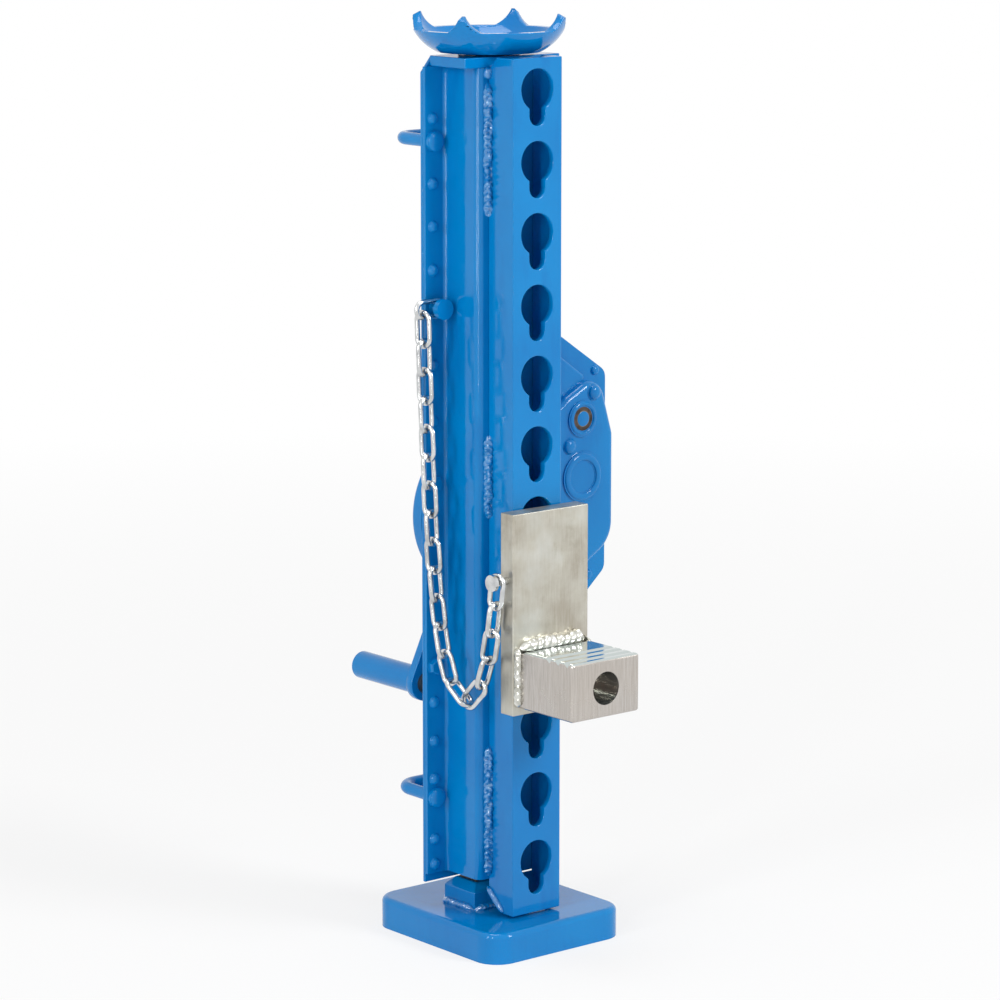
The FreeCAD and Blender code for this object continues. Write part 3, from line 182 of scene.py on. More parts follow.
def enamel(name, wet):
    """Thick gloss enamel: slight colour drift, orange peel, and thin runs down upright faces.

    The wet kind lies on the welds, where it is glossier, with pale speckles painted in as glints:
    painted highlights.
    """
    graph = Finish(name)
    colour = graph.ramp(graph.noise(9, 4), [(0.35, linear(0, 119, 189)), (0.65, linear(0, 130, 199))])
    runs = graph.stretch(1, 1, 0.25)
    pooled = graph.ramp(graph.noise(55, 3, 0.6, runs), [(0.55, 0.0), (0.75, 0.35)])
    colour = graph.mix(pooled, colour, linear(0, 98, 172))
    if wet:
        # Pale speckles painted in as glints: painted highlights on the weld beads.
        painted_glints = graph.ramp(graph.noise(230, 3), [(0.55, 0.0), (0.68, 0.5)])
        colour = graph.mix(painted_glints, colour, linear(120, 184, 226))
    waves = graph.noise(38, 2, 0.5, graph.stretch(1, 1, 0.5))
    normal = graph.bump(waves, 0.26, 1.0 * MM)
    normal = graph.bump(graph.noise(260, 2), 0.04 if wet else 0.10, 0.3 * MM, normal)
    nibs = graph.ramp(graph.noise(800, 1), [(0.70, 0.0), (0.80, 1.0)])
    normal = graph.bump(nibs, 0.03 if wet else 0.12, 0.2 * MM, normal)
    rough = graph.spread(graph.noise(40, 3), 0.05, 0.14)
    return graph.set(Base_Color=colour, Roughness=rough, Normal=normal,
                     Coat_Weight=1.0 if wet else 0.2, Coat_Roughness=0.03,
                     Specular_IOR_Level=0.9 if wet else 0.22)


def plate_zinc():
    """Passivated zinc on rough plate: warm patches, upright draw lines and pale scuffs."""
    graph = Finish("zinc_passivated")
    patches = graph.noise(26, 5, 0.6)
    colour = graph.ramp(patches, [(0.32, linear(198, 199, 192)), (0.50, linear(184, 181, 168)),
                                  (0.66, linear(164, 157, 142))])
    lines = graph.noise(60, 3, 0.6, graph.stretch(14, 14, 0.8))
    colour = graph.mix(graph.spread(lines, 0.0, 0.4), colour, linear(206, 203, 196))
    stains = graph.ramp(graph.noise(15, 6, 0.7), [(0.58, 0.0), (0.72, 0.6)])
    colour = graph.mix(stains, colour, linear(146, 140, 122))
    rough = graph.spread(graph.noise(45, 4), 0.26, 0.46)
    normal = graph.bump(lines, 0.12, 0.2 * MM)
    normal = graph.bump(graph.noise(420, 3), 0.12, 0.2 * MM, normal)
    return graph.set(Base_Color=colour, Metallic=0.85, Roughness=rough, Normal=normal)


def sawn_zinc():
    """Brighter sawn faces of the claw's block, with upright saw lines, and a smoother top without
    them, painted lighter and cooler as a painted reflection.
    """
    graph = Finish("zinc_sawn")
    parts = graph.add("ShaderNodeSeparateXYZ")
    graph.join(graph.add("ShaderNodeNewGeometry").outputs["True Normal"], parts.inputs[0])
    upward = graph.ramp(parts.outputs["Z"], [(0.5, 0.0), (0.6, 1.0)])
    lines = graph.noise(60, 3, 0.6, graph.stretch(20, 20, 0.7))
    colour = graph.ramp(lines, [(0.35, linear(178, 173, 168)), (0.65, linear(199, 195, 191))])
    colour = graph.mix(graph.spread(graph.noise(18, 4), 0.0, 0.4), colour, linear(186, 176, 164))
    # Painted reflection: upward faces painted lighter and cooler.
    colour = graph.mix(upward, colour, linear(198, 206, 204))
    normal = graph.bump(graph.mix(upward, lines, (0.5, 0.5, 0.5)), 0.12, 0.2 * MM)
    rough = graph.mix(upward, graph.spread(graph.noise(30, 3), 0.16, 0.30), (0.1, 0.1, 0.1))
    return graph.set(Base_Color=colour, Metallic=0.9, Roughness=rough, Normal=normal)


def weld_zinc():
    """Bright, finely pitted zinc on the claw's weld beads."""
    graph = Finish("zinc_weld")
    colour = graph.ramp(graph.noise(120, 4), [(0.3, linear(186, 186, 176)),
                                              (0.7, linear(230, 230, 224))])
    normal = graph.bump(graph.noise(300, 3), 0.12, 0.3 * MM)
    rough = graph.spread(graph.noise(200, 3), 0.16, 0.34)
    return graph.set(Base_Color=colour, Metallic=0.9, Roughness=rough, Normal=normal)


def chain_zinc():
    """Bright zinc with small dull spots, as on the chain."""
    graph = Finish("zinc_bright")
    colour = graph.ramp(graph.noise(90, 4), [(0.3, linear(178, 180, 182)),
                                             (0.7, linear(222, 224, 224))])
    rough = graph.spread(graph.noise(160, 3), 0.10, 0.24)
    normal = graph.bump(graph.noise(600, 2), 0.10, 0.2 * MM)
    return graph.set(Base_Color=colour, Metallic=1.0, Roughness=rough, Normal=normal)


def greased_steel():
    """Dark greased steel with fine machining lines, on the rack and the gears."""
    graph = Finish("steel_greased")
    colour = graph.ramp(graph.noise(50, 4), [(0.3, linear(92, 90, 84)), (0.7, linear(142, 138, 130))])
    rough = graph.spread(graph.noise(70, 3), 0.22, 0.45)
    lines = graph.noise(700, 2, 0.5, graph.stretch(1, 1, 0.1))
    normal = graph.bump(lines, 0.1, 0.2 * MM)
    return graph.set(Base_Color=colour, Metallic=0.9, Roughness=rough, Normal=normal)


def bush_steel():
    """Bare, slightly browned steel of the bushes."""
    graph = Finish("steel_bare")
    colour = graph.ramp(graph.noise(150, 4), [(0.35, linear(58, 54, 52)), (0.7, linear(104, 90, 80))])
    rough = graph.spread(graph.noise(90, 3), 0.3, 0.5)
    return graph.set(Base_Color=colour, Metallic=0.8, Roughness=rough)


ENAMEL = enamel("blue_enamel", wet=False)
WET_ENAMEL = enamel("blue_enamel_thick", wet=True)
PLATE_ZINC = plate_zinc()
SAWN_ZINC = sawn_zinc()
WELD_ZINC = weld_zinc()
CHAIN_ZINC = chain_zinc()
SLOT_MATERIALS = {
    "blue_paint": ENAMEL,
    "greased_steel": greased_steel(),
    "bush_steel": bush_steel(),
    "zinc_chain": CHAIN_ZINC,
    "galvanised_steel": PLATE_ZINC,
}
NODE_MATERIALS = {"claw_block": SAWN_ZINC, "claw_welds": WELD_ZINC}


# CAD nodes

# Width of the softened edges, in millimetres
EDGE_ROUNDS = {
    "claw_rail": 0.9, "shaft_channel": 0.5, "back_plate": 0.7, "gear_side_plate": 0.7,
    "head_block": 0.8, "crank_arm": 0.9, "claw_plate": 0.8, "rack_foot": 0.8, "crown": 0.7,
    "crank_hub": 0.8,
}


def soften_edges(piece, width, segments, angle_limit):
    """Bevel the edges where faces meet at more than the angle, with flat faces left flat."""
    bevel = piece.modifiers.new("bevel", "BEVEL")
    bevel.width = width
    bevel.segments = segments
    bevel.limit_method = "ANGLE"
    bevel.angle_limit = angle_limit
    bevel.harden_normals = True
    return bevel


def finish_nodes():
    """Material of its slot for every CAD node, and softened edges for the plain plates.

    Triangles of a flat face are joined first, or the bevel would shade them one by one.
    """
    slots = {row["node"]: row["material_slot"] for row in frame["record"]["subparts"]}
    for name, node in frame["nodes"].items():
        node.data.materials.clear()
        node.data.materials.append(NODE_MATERIALS.get(name, SLOT_MATERIALS[slots[name]]))
        if name not in EDGE_ROUNDS:
            continue
        weld = node.modifiers.new("weld", "WELD")
        weld.merge_threshold = MERGE
        flat = node.modifiers.new("flat", "DECIMATE")
        flat.decimate_type = "DISSOLVE"
        flat.angle_limit = math.radians(0.5)
        bevel = soften_edges(node, EDGE_ROUNDS[name] * MM, 2, math.radians(40))
        bevel.use_clamp_overlap = False


def solids_of(name):
    """Boxes of the separate solids in a CAD node, as (low, high) corners."""
    bm = bmesh.new()
    bm.from_mesh(frame["nodes"][name].data)
    bmesh.ops.remove_doubles(bm, verts=bm.verts, dist=MERGE)
    left = set(bm.verts)
    boxes = []
    while left:
        waiting = [left.pop()]
        found = list(waiting)
        while waiting:
            for edge in waiting.pop().link_edges:
                for vertex in edge.verts:
                    if vertex in left:
                        left.remove(vertex)
                        waiting.append(vertex)
                        found.append(vertex)
        columns = list(zip(*(vertex.co for vertex in found)))
        boxes.append((Vector([min(column) for column in columns]),
                      Vector([max(column) for column in columns])))
    bm.free()
    return sorted(boxes, key=lambda item: tuple(round(part, 5) for part in item[0]))


def middle_of(name):
    """Middle of a CAD node's box."""
    low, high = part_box(name)
    return (Vector(low) + Vector(high)) / 2


# Pieces

def in_mm(profile):
    """Profile written in millimetres, as pairs of metres."""
    return [(first * MM, second * MM) for first, second in profile]


def smooth(mesh, angle):
    """Shade smooth, with sharp edges kept where faces meet at more than the angle in degrees."""
    bm = bmesh.new()
    bm.from_mesh(mesh)
    for edge in bm.edges:
        edge.smooth = len(edge.link_faces) != 2 or edge.calc_face_angle(0) < math.radians(angle)
    for face in bm.faces:
        face.smooth = True
    bm.to_mesh(mesh)
    bm.free()


def new_piece(name, bm, surface, body, replaces=(), angle=35):
    """Object from a filled bmesh, riding on a body unless it is blended later."""
    bmesh.ops.recalc_face_normals(bm, faces=bm.faces)
    mesh = bpy.data.meshes.new(name)
    bm.to_mesh(mesh)
    bm.free()
    smooth(mesh, angle)
    piece = bpy.data.objects.new(name, mesh)
    bpy.context.scene.collection.objects.link(piece)
    mesh.materials.append(surface)
    if body:
        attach(piece, body)
    if replaces:
        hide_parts(*replaces)
    return piece


def skin(bm, rings, closed_path=False):
    """Faces between rings of vertices, with a cap at each end unless the path closes on itself."""
    count = len(rings)
    for index in range(count if closed_path else count - 1):
        first = rings[index]
        second = rings[(index + 1) % count]
        sides = len(first)
        for side in range(sides):
            other = (side + 1) % sides
            bm.faces.new((first[side], first[other], second[other], second[side]))
    if not closed_path:
        bm.faces.new(rings[0][::-1])
        bm.faces.new(rings[-1])


def circle(bm, centre, across, up, radius, sides, turn=0.0):
    """Ring of vertices round a centre, in the plane of two directions."""
    ring = []
    for side in range(sides):
        angle = 2 * math.pi * side / sides + turn
        outward = across * math.cos(angle) + up * math.sin(angle)
        ring.append(bm.verts.new(centre + outward * radius))
    return ring


def turned(bm, centre, profile, sides=28, turn=0.0):
    """Solid of revolution towards the front: (radius, height) pairs from its base to its tip."""
    across = FRONT.orthogonal().normalized()
    up = FRONT.cross(across)
    skin(bm, [circle(bm, centre + FRONT * height, across, up, radius, sides, turn)
              for radius, height in profile])


# Radius and height along a snap head, as shares of its own
SNAP_HEAD = ((1.16, -0.10), (1.12, 0.02), (1.0, 0.14), (0.95, 0.42), (0.80, 0.70), (0.55, 0.90),
             (0.28, 0.98), (0.04, 1.0))


def snap_head(bm, centre, radius, height):
    """Rivet's head with a thin collar of paint round its foot."""
    turned(bm, centre, [(radius * across, height * up) for across, up in SNAP_HEAD])


def heads_of(name):
    """Foot's centre, radius and height of every head in a CAD node, all pointing to the front."""
    for low, high in solids_of(name):
        centre = Vector(((low.x + high.x) / 2, high.y, (low.z + high.z) / 2))
        yield centre, (high.x - low.x) / 2, high.y - low.y


def build_rivets():
    """Snap heads of slightly different widths down both flanges."""
    bm = bmesh.new()
    for centre, radius, height in heads_of("flange_rivets"):
        snap_head(bm, centre, radius * random.uniform(0.95, 1.06), height)
    new_piece("rivet_heads", bm, ENAMEL, "housing", ["flange_rivets"])


def build_flange_bolts():
    """Hexagon heads with a chamfered crown on a washer face."""
    bm = bmesh.new()
    for centre, radius, height in heads_of("flange_bolts"):
        washer = [(radius * 1.05, -0.2 * MM), (radius * 1.05, height * 0.10),
                  (radius * 0.98, height * 0.13)]
        hexagon = [(radius * 0.99, height * 0.10), (radius * 0.99, height * 0.82),
                   (radius * 0.84, height * 0.98), (radius * 0.3, height)]
        turned(bm, centre, washer)
        turned(bm, centre, hexagon, sides=6, turn=random.uniform(0, 1))
    new_piece("flange_bolt_heads", bm, ENAMEL, "housing", ["flange_bolts"])


def build_cover_bolts():
    """Button heads on the gear cover."""
    bm = bmesh.new()
    for centre, radius, height in heads_of("cover_bolts"):
        snap_head(bm, centre, radius * 0.94, height)
    new_piece("cover_bolt_heads", bm, ENAMEL, "housing", ["cover_bolts"])


# Weld beads

BEAD_SIDES = 9
BEAD_ROOT = 0.12 * MM
BEAD_FLANK = 0.80
BEAD_CROWN = 0.16
RINGS_PER_RIPPLE = 1 / 0.22
LEAST_RINGS = 12
RIPPLE_LAG = 0.55
RIPPLE_DRIFT = 0.9
LUMPS_PER_METRE = 130


def bead(bm, start, finish, faces, legs, pitch, rough, seed):
    """Weld bead along a corner: a round front with curved ripples, uneven along its length.

    faces are the directions out of the corner along its two faces, legs the bead's reach along
    each, and pitch the distance between two ripples. A ripple's middle lags behind its ends.
    """
    length = (finish - start).length
    along = (finish - start) / length
    steps = max(LEAST_RINGS, int(length / pitch * RINGS_PER_RIPPLE))
    rings = []
    for step in range(steps + 1):
        travel = length * step / steps
        from_end = min(travel, length - travel) / (legs[0] * 0.9)
        taper = min(1, math.sqrt(max(0.02, from_end)))
        here = start + along * travel
        ring = [bm.verts.new(here - (faces[0] + faces[1]) * BEAD_ROOT)]
        for side in range(BEAD_SIDES):
            angle = math.pi / 2 * side / (BEAD_SIDES - 1)
            bow = math.sin(2 * angle)
            phase = travel / pitch - bow * RIPPLE_LAG
            drift = noise.noise(Vector((phase * 0.6, seed, 0)))
            ripple = abs(math.sin(math.pi * phase + RIPPLE_DRIFT * drift))
            lump = noise.noise(Vector((travel * LUMPS_PER_METRE, seed * 3.1, side * 0.25)))
            uneven = rough * (0.5 * (ripple - 0.6) + 0.55 * lump) * (0.35 + bow)
            size = taper * (BEAD_FLANK + BEAD_CROWN * bow + uneven)
            reach = (faces[0] * (math.cos(angle) * legs[0])
                     + faces[1] * (math.sin(angle) * legs[1]))
            ring.append(bm.verts.new(here + reach * size))
        rings.append(ring)
    skin(bm, rings)


def build_rail_welds():
    """Coarse beads between the rail and the shaft, as long as the part's plain ones."""
    edge_x, edge_y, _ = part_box("claw_rail")[1]
    bm = bmesh.new()
    for index, (low, high) in enumerate(solids_of("rail_welds")):
        side = 1 if low.x > 0 else -1
        start = Vector((edge_x * side, edge_y, low.z))
        finish = Vector((edge_x * side, edge_y, high.z))
        bead(bm, start, finish, (RIGHT * side, FRONT), legs=(5.8 * MM, 6.2 * MM),
             pitch=5.2 * MM, rough=0.80, seed=index + 1)
    new_piece("rail_weld_beads", bm, WET_ENAMEL, "housing", ["rail_welds"],
              angle=60)


def build_claw_welds():
    """Bead along the top of the claw's block and one down each of its sides."""
    block_low, block_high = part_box("claw_block")
    corner_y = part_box("claw_plate")[0][1]
    inset = 1 * MM
    bm = bmesh.new()
    start = Vector((block_low[0] + inset, corner_y, block_high[2]))
    finish = Vector((block_high[0] - inset, corner_y, block_high[2]))
    bead(bm, start, finish, (FRONT, UP), legs=(9.5 * MM, 9.975 * MM),
         pitch=6.5 * MM, rough=0.27, seed=21)
    for side in (-1, 1):
        edge_x = block_high[0] * side
        start = Vector((edge_x, corner_y, block_low[2] + 0.5 * MM))
        finish = Vector((edge_x, corner_y, block_high[2] + 2.5 * MM))
        bead(bm, start, finish, (RIGHT * side, FRONT), legs=(4.0 * MM, 7.0 * MM),
             pitch=5.5 * MM, rough=0.30, seed=31 + side)
    new_piece("claw_weld_beads", bm, WELD_ZINC, "claw", ["claw_welds"],
              angle=60)


def build_foot_weld():
    """Fillet weld round the rack's foot on the base."""
    low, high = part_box("rack_foot")
    corners = [Vector((low[0], low[1], low[2])), Vector((high[0], low[1], low[2])),
               Vector((high[0], high[1], low[2])), Vector((low[0], high[1], low[2]))]
    bm = bmesh.new()
    for index, start in enumerate(corners):
        finish = corners[(index + 1) % 4]
        outward = (finish - start).normalized().cross(UP)
        bead(bm, start, finish, (outward, UP), legs=(6 * MM, 5 * MM),
             pitch=3.6 * MM, rough=0.3, seed=40 + index)
    new_piece("rack_foot_weld", bm, WET_ENAMEL, "foot", angle=60)


def lumpy_bar(bm, points, radius, seed, sides=12):
    """Round bar of weld metal through points, a little uneven, with round ends."""
    rings = []
    last = len(points) - 1
    for index, point in enumerate(points):
        before = points[max(index - 1, 0)]
        after = points[min(index + 1, last)]
        along = (after - before).normalized()
        up = along.cross(RIGHT).normalized()
        from_end = min(index, last - index)
        size = radius * min(1, math.sqrt(0.12 + from_end * 0.40))
        ring = []
        for side in range(sides):
            angle = 2 * math.pi * side / sides
            lump = 1 + 0.16 * noise.noise(Vector((index * 0.33, seed, side * 0.3)))
            outward = RIGHT * math.cos(angle) + up * math.sin(angle)
            ring.append(bm.verts.new(point + outward * (size * lump)))
        rings.append(ring)
    skin(bm, rings)


HEAD_WELD_LOW = 681.5 * MM
HEAD_WELD_STEPS = 10


def build_head_welds():
    """Weld blobs in the corners between the rail, the shaft and the head plate."""
    edge_x, rear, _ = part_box("claw_rail")[1]
    proud = 1.2 * MM
    bm = bmesh.new()
    for side in (-1, 1):
        points = [Vector((side * (edge_x + proud), rear - proud, HEAD_WELD_LOW + step * MM))
                  for step in range(HEAD_WELD_STEPS)]
        lumpy_bar(bm, points, 3.4 * MM, seed=11 + side)
    new_piece("head_weld_blobs", bm, WET_ENAMEL, "housing", angle=60)


RAIL_CUT = 17 * MM
LIP_STEPS = 14


def build_rail_foot():
    """Closing plate inside the rail's cut foot and the weld lips along the cut."""
    low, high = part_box("claw_rail")
    rear = high[1]
    wall = 2.6 * MM
    thick = 2.8 * MM
    floor_z = low[2] + 3.4 * MM
    path = [(rear - 0.5 * MM, low[2] + RAIL_CUT + 7 * MM), (rear - RAIL_CUT - 1 * MM, floor_z),
            (low[1] + 4 * MM, floor_z)]
    bm = bmesh.new()
    rows = []
    for x in (low[0] + wall, high[0] - wall):
        under = [bm.verts.new((x, y, z - thick)) for y, z in path]
        over = [bm.verts.new((x, y, z)) for y, z in reversed(path)]
        rows.append(under + over)
    skin(bm, rows)
    new_piece("rail_foot_plate", bm, ENAMEL, "housing")
    bm = bmesh.new()
    for side in (-1, 1):
        x = (high[0] + 0.6 * MM) * side
        first = Vector((x, rear + 0.5 * MM, low[2] + RAIL_CUT + 1.5 * MM))
        second = Vector((x, rear - RAIL_CUT - 1.5 * MM, low[2] + 1.6 * MM))
        points = [first.lerp(second, step / LIP_STEPS) for step in range(LIP_STEPS + 1)]
        lumpy_bar(bm, points, 2.6 * MM, seed=3 + side)
    new_piece("rail_foot_lips", bm, WET_ENAMEL, "housing", angle=60)


# Fittings of the gear cover and the handles

def ring_rim(bm, centre, outer, inner, height, sides=56):
    """Cast rim on a boss: soft outside, flat top, and a groove left round what it holds."""
    profile = [(outer + 1.8 * MM, -1.5 * MM), (outer + 0.5 * MM, -1.3 * MM),
               (outer - 0.2 * MM, -0.5 * MM), (outer - 0.8 * MM, height * 0.6),
               (outer - 1.9 * MM, height), (inner + 0.9 * MM, height),
               (inner + 0.2 * MM, height * 0.6), (inner, -0.3 * MM)]
    skin(bm, [circle(bm, centre + FRONT * up, RIGHT, UP, radius, sides) for radius, up in profile],
         closed_path=True)


# Radius and height of the paint on the shaft's end, in millimetres
SHAFT_END = ((6.0, -0.2), (6.0, 0.15), (5.4, 0.4), (0.1, 0.5))


def build_boss_rims():
    """Rims round the crank shaft and the mid shaft, and the paint on the crank shaft's end."""
    crank = middle_of("crank_shaft")
    boss_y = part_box("gear_cover_front")[0][1]
    crank_end = Vector((crank.x, boss_y, crank.z))
    mid_end = Vector((crank.x, boss_y, middle_of("mid_shaft").z))
    bm = bmesh.new()
    ring_rim(bm, crank_end, outer=14.2 * MM, inner=10.3 * MM, height=1.0 * MM)
    ring_rim(bm, mid_end, outer=19.4 * MM, inner=13.3 * MM, height=1.1 * MM)
    new_piece("boss_rims", bm, ENAMEL, "housing", angle=50)
    bm = bmesh.new()
    turned(bm, crank_end, in_mm(SHAFT_END))
    new_piece("shaft_end_paint", bm, ENAMEL, "crank")


# Outline of the step seen from the front, and its depth, in millimetres
STEP_CORNERS = ((34.4, 486.0), (101.0, 437.4), (98.0, 431.8), (76.0, 420.6), (34.4, 391.2))
STEP_FRONT = 10.0
STEP_REAR = 19.4


def build_cover_step():
    """Lower step of the pressed cover, behind its upper left edge."""
    bm = bmesh.new()
    skin(bm, [[bm.verts.new(Vector((x, y, z)) * MM) for x, z in STEP_CORNERS]
              for y in (STEP_FRONT, STEP_REAR)])
    step = new_piece("cover_step", bm, ENAMEL, "housing")
    soften_edges(step, 2.6 * MM, 4, math.radians(30))


# Places of the two heads seen from the front, in millimetres
SIDE_BOLTS = ((118.5, 439.5), (112.5, 273.0))


def build_side_bolts():
    """Two small heads on the margin of the gear side plate."""
    plate_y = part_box("gear_side_plate")[0][1]
    bm = bmesh.new()
    for x, z in SIDE_BOLTS:
        snap_head(bm, Vector((x * MM, plate_y, z * MM)), 4.0 * MM, 2.8 * MM)
    new_piece("side_plate_bolts", bm, ENAMEL, "housing")


HANDLE_RADIUS = 8 * MM
# Radius and height of the dome, in millimetres
HAMMERED_END = ((7.7, -0.3), (7.5, 0.3), (6.4, 1.1), (4.2, 1.7), (0.2, 2.0))


def build_handle_ends():
    """Shallow hammered domes on the ends of both handles."""
    bm = bmesh.new()
    for name in ("handle_upper", "handle_lower"):
        low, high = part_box(name)
        for side in (-1, 1):
            x = (high[0] - HANDLE_RADIUS) * side
            turned(bm, Vector((x, low[1], (low[2] + high[2]) / 2)), in_mm(HAMMERED_END))
    new_piece("handle_end_domes", bm, ENAMEL, "housing", angle=50)


# Chain: the same links as in the solid model, with round wire

WIRE = 4.1 * MM
LINK_LENGTH = 30.6 * MM
LINK_WIDTH = 16.5 * MM
LINK_PLAY = 0.3 * MM
LINK_COUNT = 20
WIRE_RADIUS = WIRE / 2
LINK_BEND = LINK_WIDTH / 2 - WIRE_RADIUS
LINK_STRAIGHT = LINK_LENGTH / 2 - WIRE_RADIUS - LINK_BEND
LINK_PITCH = LINK_LENGTH - 2 * WIRE - LINK_PLAY
ANCHOR = Vector((-46.5, 14.35, 504)) * MM
ANCHOR_RADIUS = 4 * MM
CLAW_HOLD = Vector((-47.0, -59.65, 303.15)) * MM
HALVINGS = 100


def link_rings(bm, matrix, steps=40, sides=12):
    """One welded link in the XY plane, long axis X, put in its place by a matrix.

    Its second half is the first one, a bend and a straight side, turned by half a turn.
    """
    arc = math.pi * LINK_BEND
    half_way = arc + 2 * LINK_STRAIGHT
    rings = []
    for step in range(steps):
        travel = 2 * half_way * step / steps
        half_turn = 1
        if travel >= half_way:
            travel -= half_way
            half_turn = -1
        if travel < arc:
            angle = travel / LINK_BEND - math.pi / 2
            middle = Vector((LINK_STRAIGHT, 0, 0))
            outward = Vector((math.cos(angle), math.sin(angle), 0))
        else:
            middle = Vector((LINK_STRAIGHT - (travel - arc), 0, 0))
            outward = Vector((0, 1, 0))
        centre = (middle + outward * LINK_BEND) * half_turn
        ring = []
        for side in range(sides):
            around = 2 * math.pi * side / sides
            spot = centre + outward * (half_turn * WIRE_RADIUS * math.cos(around))
            ring.append(bm.verts.new(matrix @ (spot + UP * (WIRE_RADIUS * math.sin(around)))))
        rings.append(ring)
    skin(bm, rings, closed_path=True)


def hanging_directions(span, rise, pitch, count):
    """Directions of equal links that hang between two points, as (across, up) pairs.

    Each link leans by the weight between it and the chain's lowest point, against one sideways
    pull. Both the lowest point, counted in links, and the pull are found by halving.
    """
    def total(lowest, pull):
        across = 0
        up = 0
        for index in range(count):
            weight = index + 0.5 - lowest
            length = math.hypot(pull, weight)
            across += pitch * pull / length
            up += pitch * weight / length
        return across, up

    def pull_for(lowest):
        low = 1e-4
        high = 1e4
        for _ in range(HALVINGS):
            middle = math.sqrt(low * high)
            if total(lowest, middle)[0] < span:
                low = middle
            else:
                high = middle
        return low

    low = 0.0
    high = float(count)
    for _ in range(HALVINGS):
        lowest = (low + high) / 2
        if total(lowest, pull_for(lowest))[1] > rise:
            low = lowest
        else:
            high = lowest
    pull = pull_for(low)
    weights = [index + 0.5 - low for index in range(count)]
    return [(pull / math.hypot(pull, weight), weight / math.hypot(pull, weight))
            for weight in weights]


def axes_matrix(along, over, spot):
    """Matrix that puts X along, Y over and the origin at a spot."""
    matrix = Matrix((along, over, along.cross(over))).transposed().to_4x4()
    matrix.translation = spot
    return matrix


def build_chain():
    """First link level round the anchor bolt, then a hanging chain down to the claw's pin."""
    bm = bmesh.new()
    inner_half = LINK_LENGTH / 2 - WIRE
    centre = ANCHOR + RIGHT * (ANCHOR_RADIUS + LINK_PLAY - inner_half)
    link_rings(bm, axes_matrix(RIGHT, UP, centre))
    spot = centre + Vector((-LINK_STRAIGHT, 0, WIRE_RADIUS + LINK_PLAY / 2 - LINK_BEND))
    ahead = CLAW_HOLD - spot
    span = math.hypot(ahead.x, ahead.y)
    forward = Vector((ahead.x / span, ahead.y / span, 0))
    sideways = UP.cross(forward)
    directions = hanging_directions(span, ahead.z, LINK_PITCH, LINK_COUNT - 1)
    for index, (across, up) in enumerate(directions):
        along = forward * across + UP * up
        middle = spot + along * (LINK_PITCH / 2)
        spot = spot + along * LINK_PITCH
        over = sideways if index % 2 else along.cross(sideways)
        roll = Matrix.Rotation(math.radians(random.uniform(-4, 4)), 3, along)
        link_rings(bm, axes_matrix(along, roll @ over, middle))
    chain = new_piece("chain_links", bm, CHAIN_ZINC, None, ["chain"], angle=80)
    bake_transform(chain)


# Camera, lights and floor

CAMERA_PLACE = (-1.8664, -2.2728, 0.9017)
CAMERA_YAW = math.radians(39.459)
CAMERA_PITCH = math.radians(-10.622)
CAMERA_LENS = 137.42
SENSOR_WIDTH = 36
WORLD_LIGHT = 0.36
FLOOR_HALF = 14.0
FLOOR_GLOW = 0.74
FADE_START = 0.5
FADE_END = 2.4


def face_towards(thing, ahead):
    """Turn a camera or lamp to look along a direction."""
    thing.rotation_euler = ahead.to_track_quat("-Z", "Y").to_euler()


def make_camera():
    """Camera a little above the crown, so that it shows nearly level as in the photograph."""
    data = bpy.data.cameras.new("camera")
    data.lens = CAMERA_LENS
    data.sensor_width = SENSOR_WIDTH
    data.clip_start = 0.1
    data.clip_end = 60
    camera = bpy.data.objects.new("camera", data)
    bpy.context.scene.collection.objects.link(camera)
    camera.location = CAMERA_PLACE
    level = math.cos(CAMERA_PITCH)
    face_towards(camera, Vector((math.sin(CAMERA_YAW) * level, math.cos(CAMERA_YAW) * level,
                                 math.sin(CAMERA_PITCH))))
    bpy.context.scene.camera = camera


def area_lamp(name, place, aim_height, size, watts):
    """Rectangular lamp that looks at a height on the object's axis."""
    data = bpy.data.lights.new(name, "AREA")
    data.shape = "RECTANGLE"
    data.size, data.size_y = size
    data.energy = watts
    lamp = bpy.data.objects.new(name, data)
    lamp.location = place
    face_towards(lamp, Vector((0, 0, aim_height)) - Vector(place))
    bpy.context.scene.collection.objects.link(lamp)


def make_lamps():
    """Large soft lamps in front and above, and a narrow one for long highlights."""
    area_lamp("key", place=(1.4, -3.0, 2.1), aim_height=0.40, size=(0.9, 1.3), watts=72)
    area_lamp("side", place=(-3.2, -0.5, 1.5), aim_height=0.40, size=(0.5, 1.9), watts=34)
    area_lamp("strip", place=(-2.9, -1.7, 1.1), aim_height=0.40, size=(0.16, 2.2), watts=20)
    area_lamp("top", place=(-0.2, 0.1, 3.2), aim_height=0.3, size=(1.2, 1.2), watts=26)


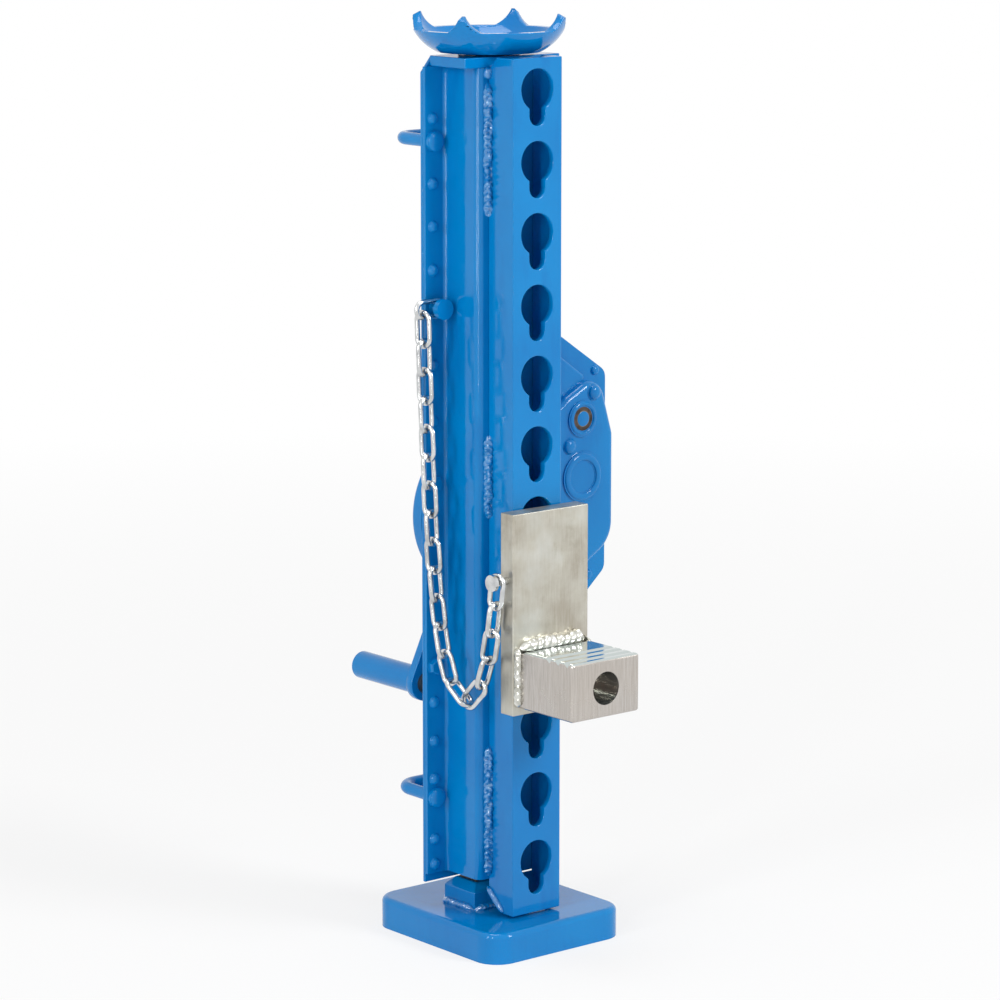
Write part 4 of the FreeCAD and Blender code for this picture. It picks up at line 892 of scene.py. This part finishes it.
def make_world():
    """White surroundings that light softly and show as plain white."""
    world = bpy.data.worlds.new("studio")
    bpy.context.scene.world = world
    world.use_nodes = True
    graph = Graph(world.node_tree)
    strength = graph.add("ShaderNodeMapRange", To_Min=WORLD_LIGHT, To_Max=1.0)
    graph.join(graph.seen_directly(), strength.inputs["Value"])
    background = graph.add("ShaderNodeBackground", Color=(1, 1, 1, 1))
    graph.join(strength.outputs[0], background.inputs["Strength"])
    output = graph.add("ShaderNodeOutputWorld")
    graph.join(background.outputs[0], output.inputs["Surface"])


def floor_white():
    """Matt white that glows where it is seen directly, fully so far from the object."""
    graph = Finish("floor_white")
    graph.set(Base_Color=(0.9, 0.9, 0.9), Roughness=0.8, Specular_IOR_Level=0.0)
    glow = graph.add("ShaderNodeEmission", Strength=1.0)
    distance = graph.add("ShaderNodeVectorMath", operation="LENGTH")
    graph.join(graph.place, distance.inputs[0])
    fade = graph.add("ShaderNodeMapRange", From_Min=FADE_START, From_Max=FADE_END,
                     To_Min=FLOOR_GLOW, To_Max=1.0)
    graph.join(distance.outputs["Value"], fade.inputs["Value"])
    factor = graph.add("ShaderNodeMath", operation="MULTIPLY")
    graph.join(graph.seen_directly(), factor.inputs[0])
    graph.join(fade.outputs[0], factor.inputs[1])
    blend = graph.add("ShaderNodeMixShader")
    graph.join(factor.outputs[0], blend.inputs[0])
    graph.join(graph.shader.outputs[0], blend.inputs[1])
    graph.join(glow.outputs[0], blend.inputs[2])
    graph.join(blend.outputs[0], graph.output.inputs["Surface"])
    return graph.material


def make_floor():
    """White floor that keeps a faint shadow of the object and fades into the surroundings."""
    mesh = bpy.data.meshes.new("floor")
    corners = [(x * FLOOR_HALF, y * FLOOR_HALF, 0) for x, y in ((-1, -1), (1, -1), (1, 1), (-1, 1))]
    mesh.from_pydata(corners, [], [(0, 1, 2, 3)])
    floor = bpy.data.objects.new("floor", mesh)
    bpy.context.scene.collection.objects.link(floor)
    mesh.materials.append(floor_white())


make_camera()
make_world()
make_floor()
make_lamps()
finish_nodes()
build_rivets()
build_flange_bolts()
build_cover_bolts()
build_rail_welds()
build_claw_welds()
build_foot_weld()
build_boss_rims()
build_cover_step()
build_side_bolts()
build_handle_ends()
build_head_welds()
build_rail_foot()
build_chain()

bpy.context.scene.view_settings.view_transform = "Standard"
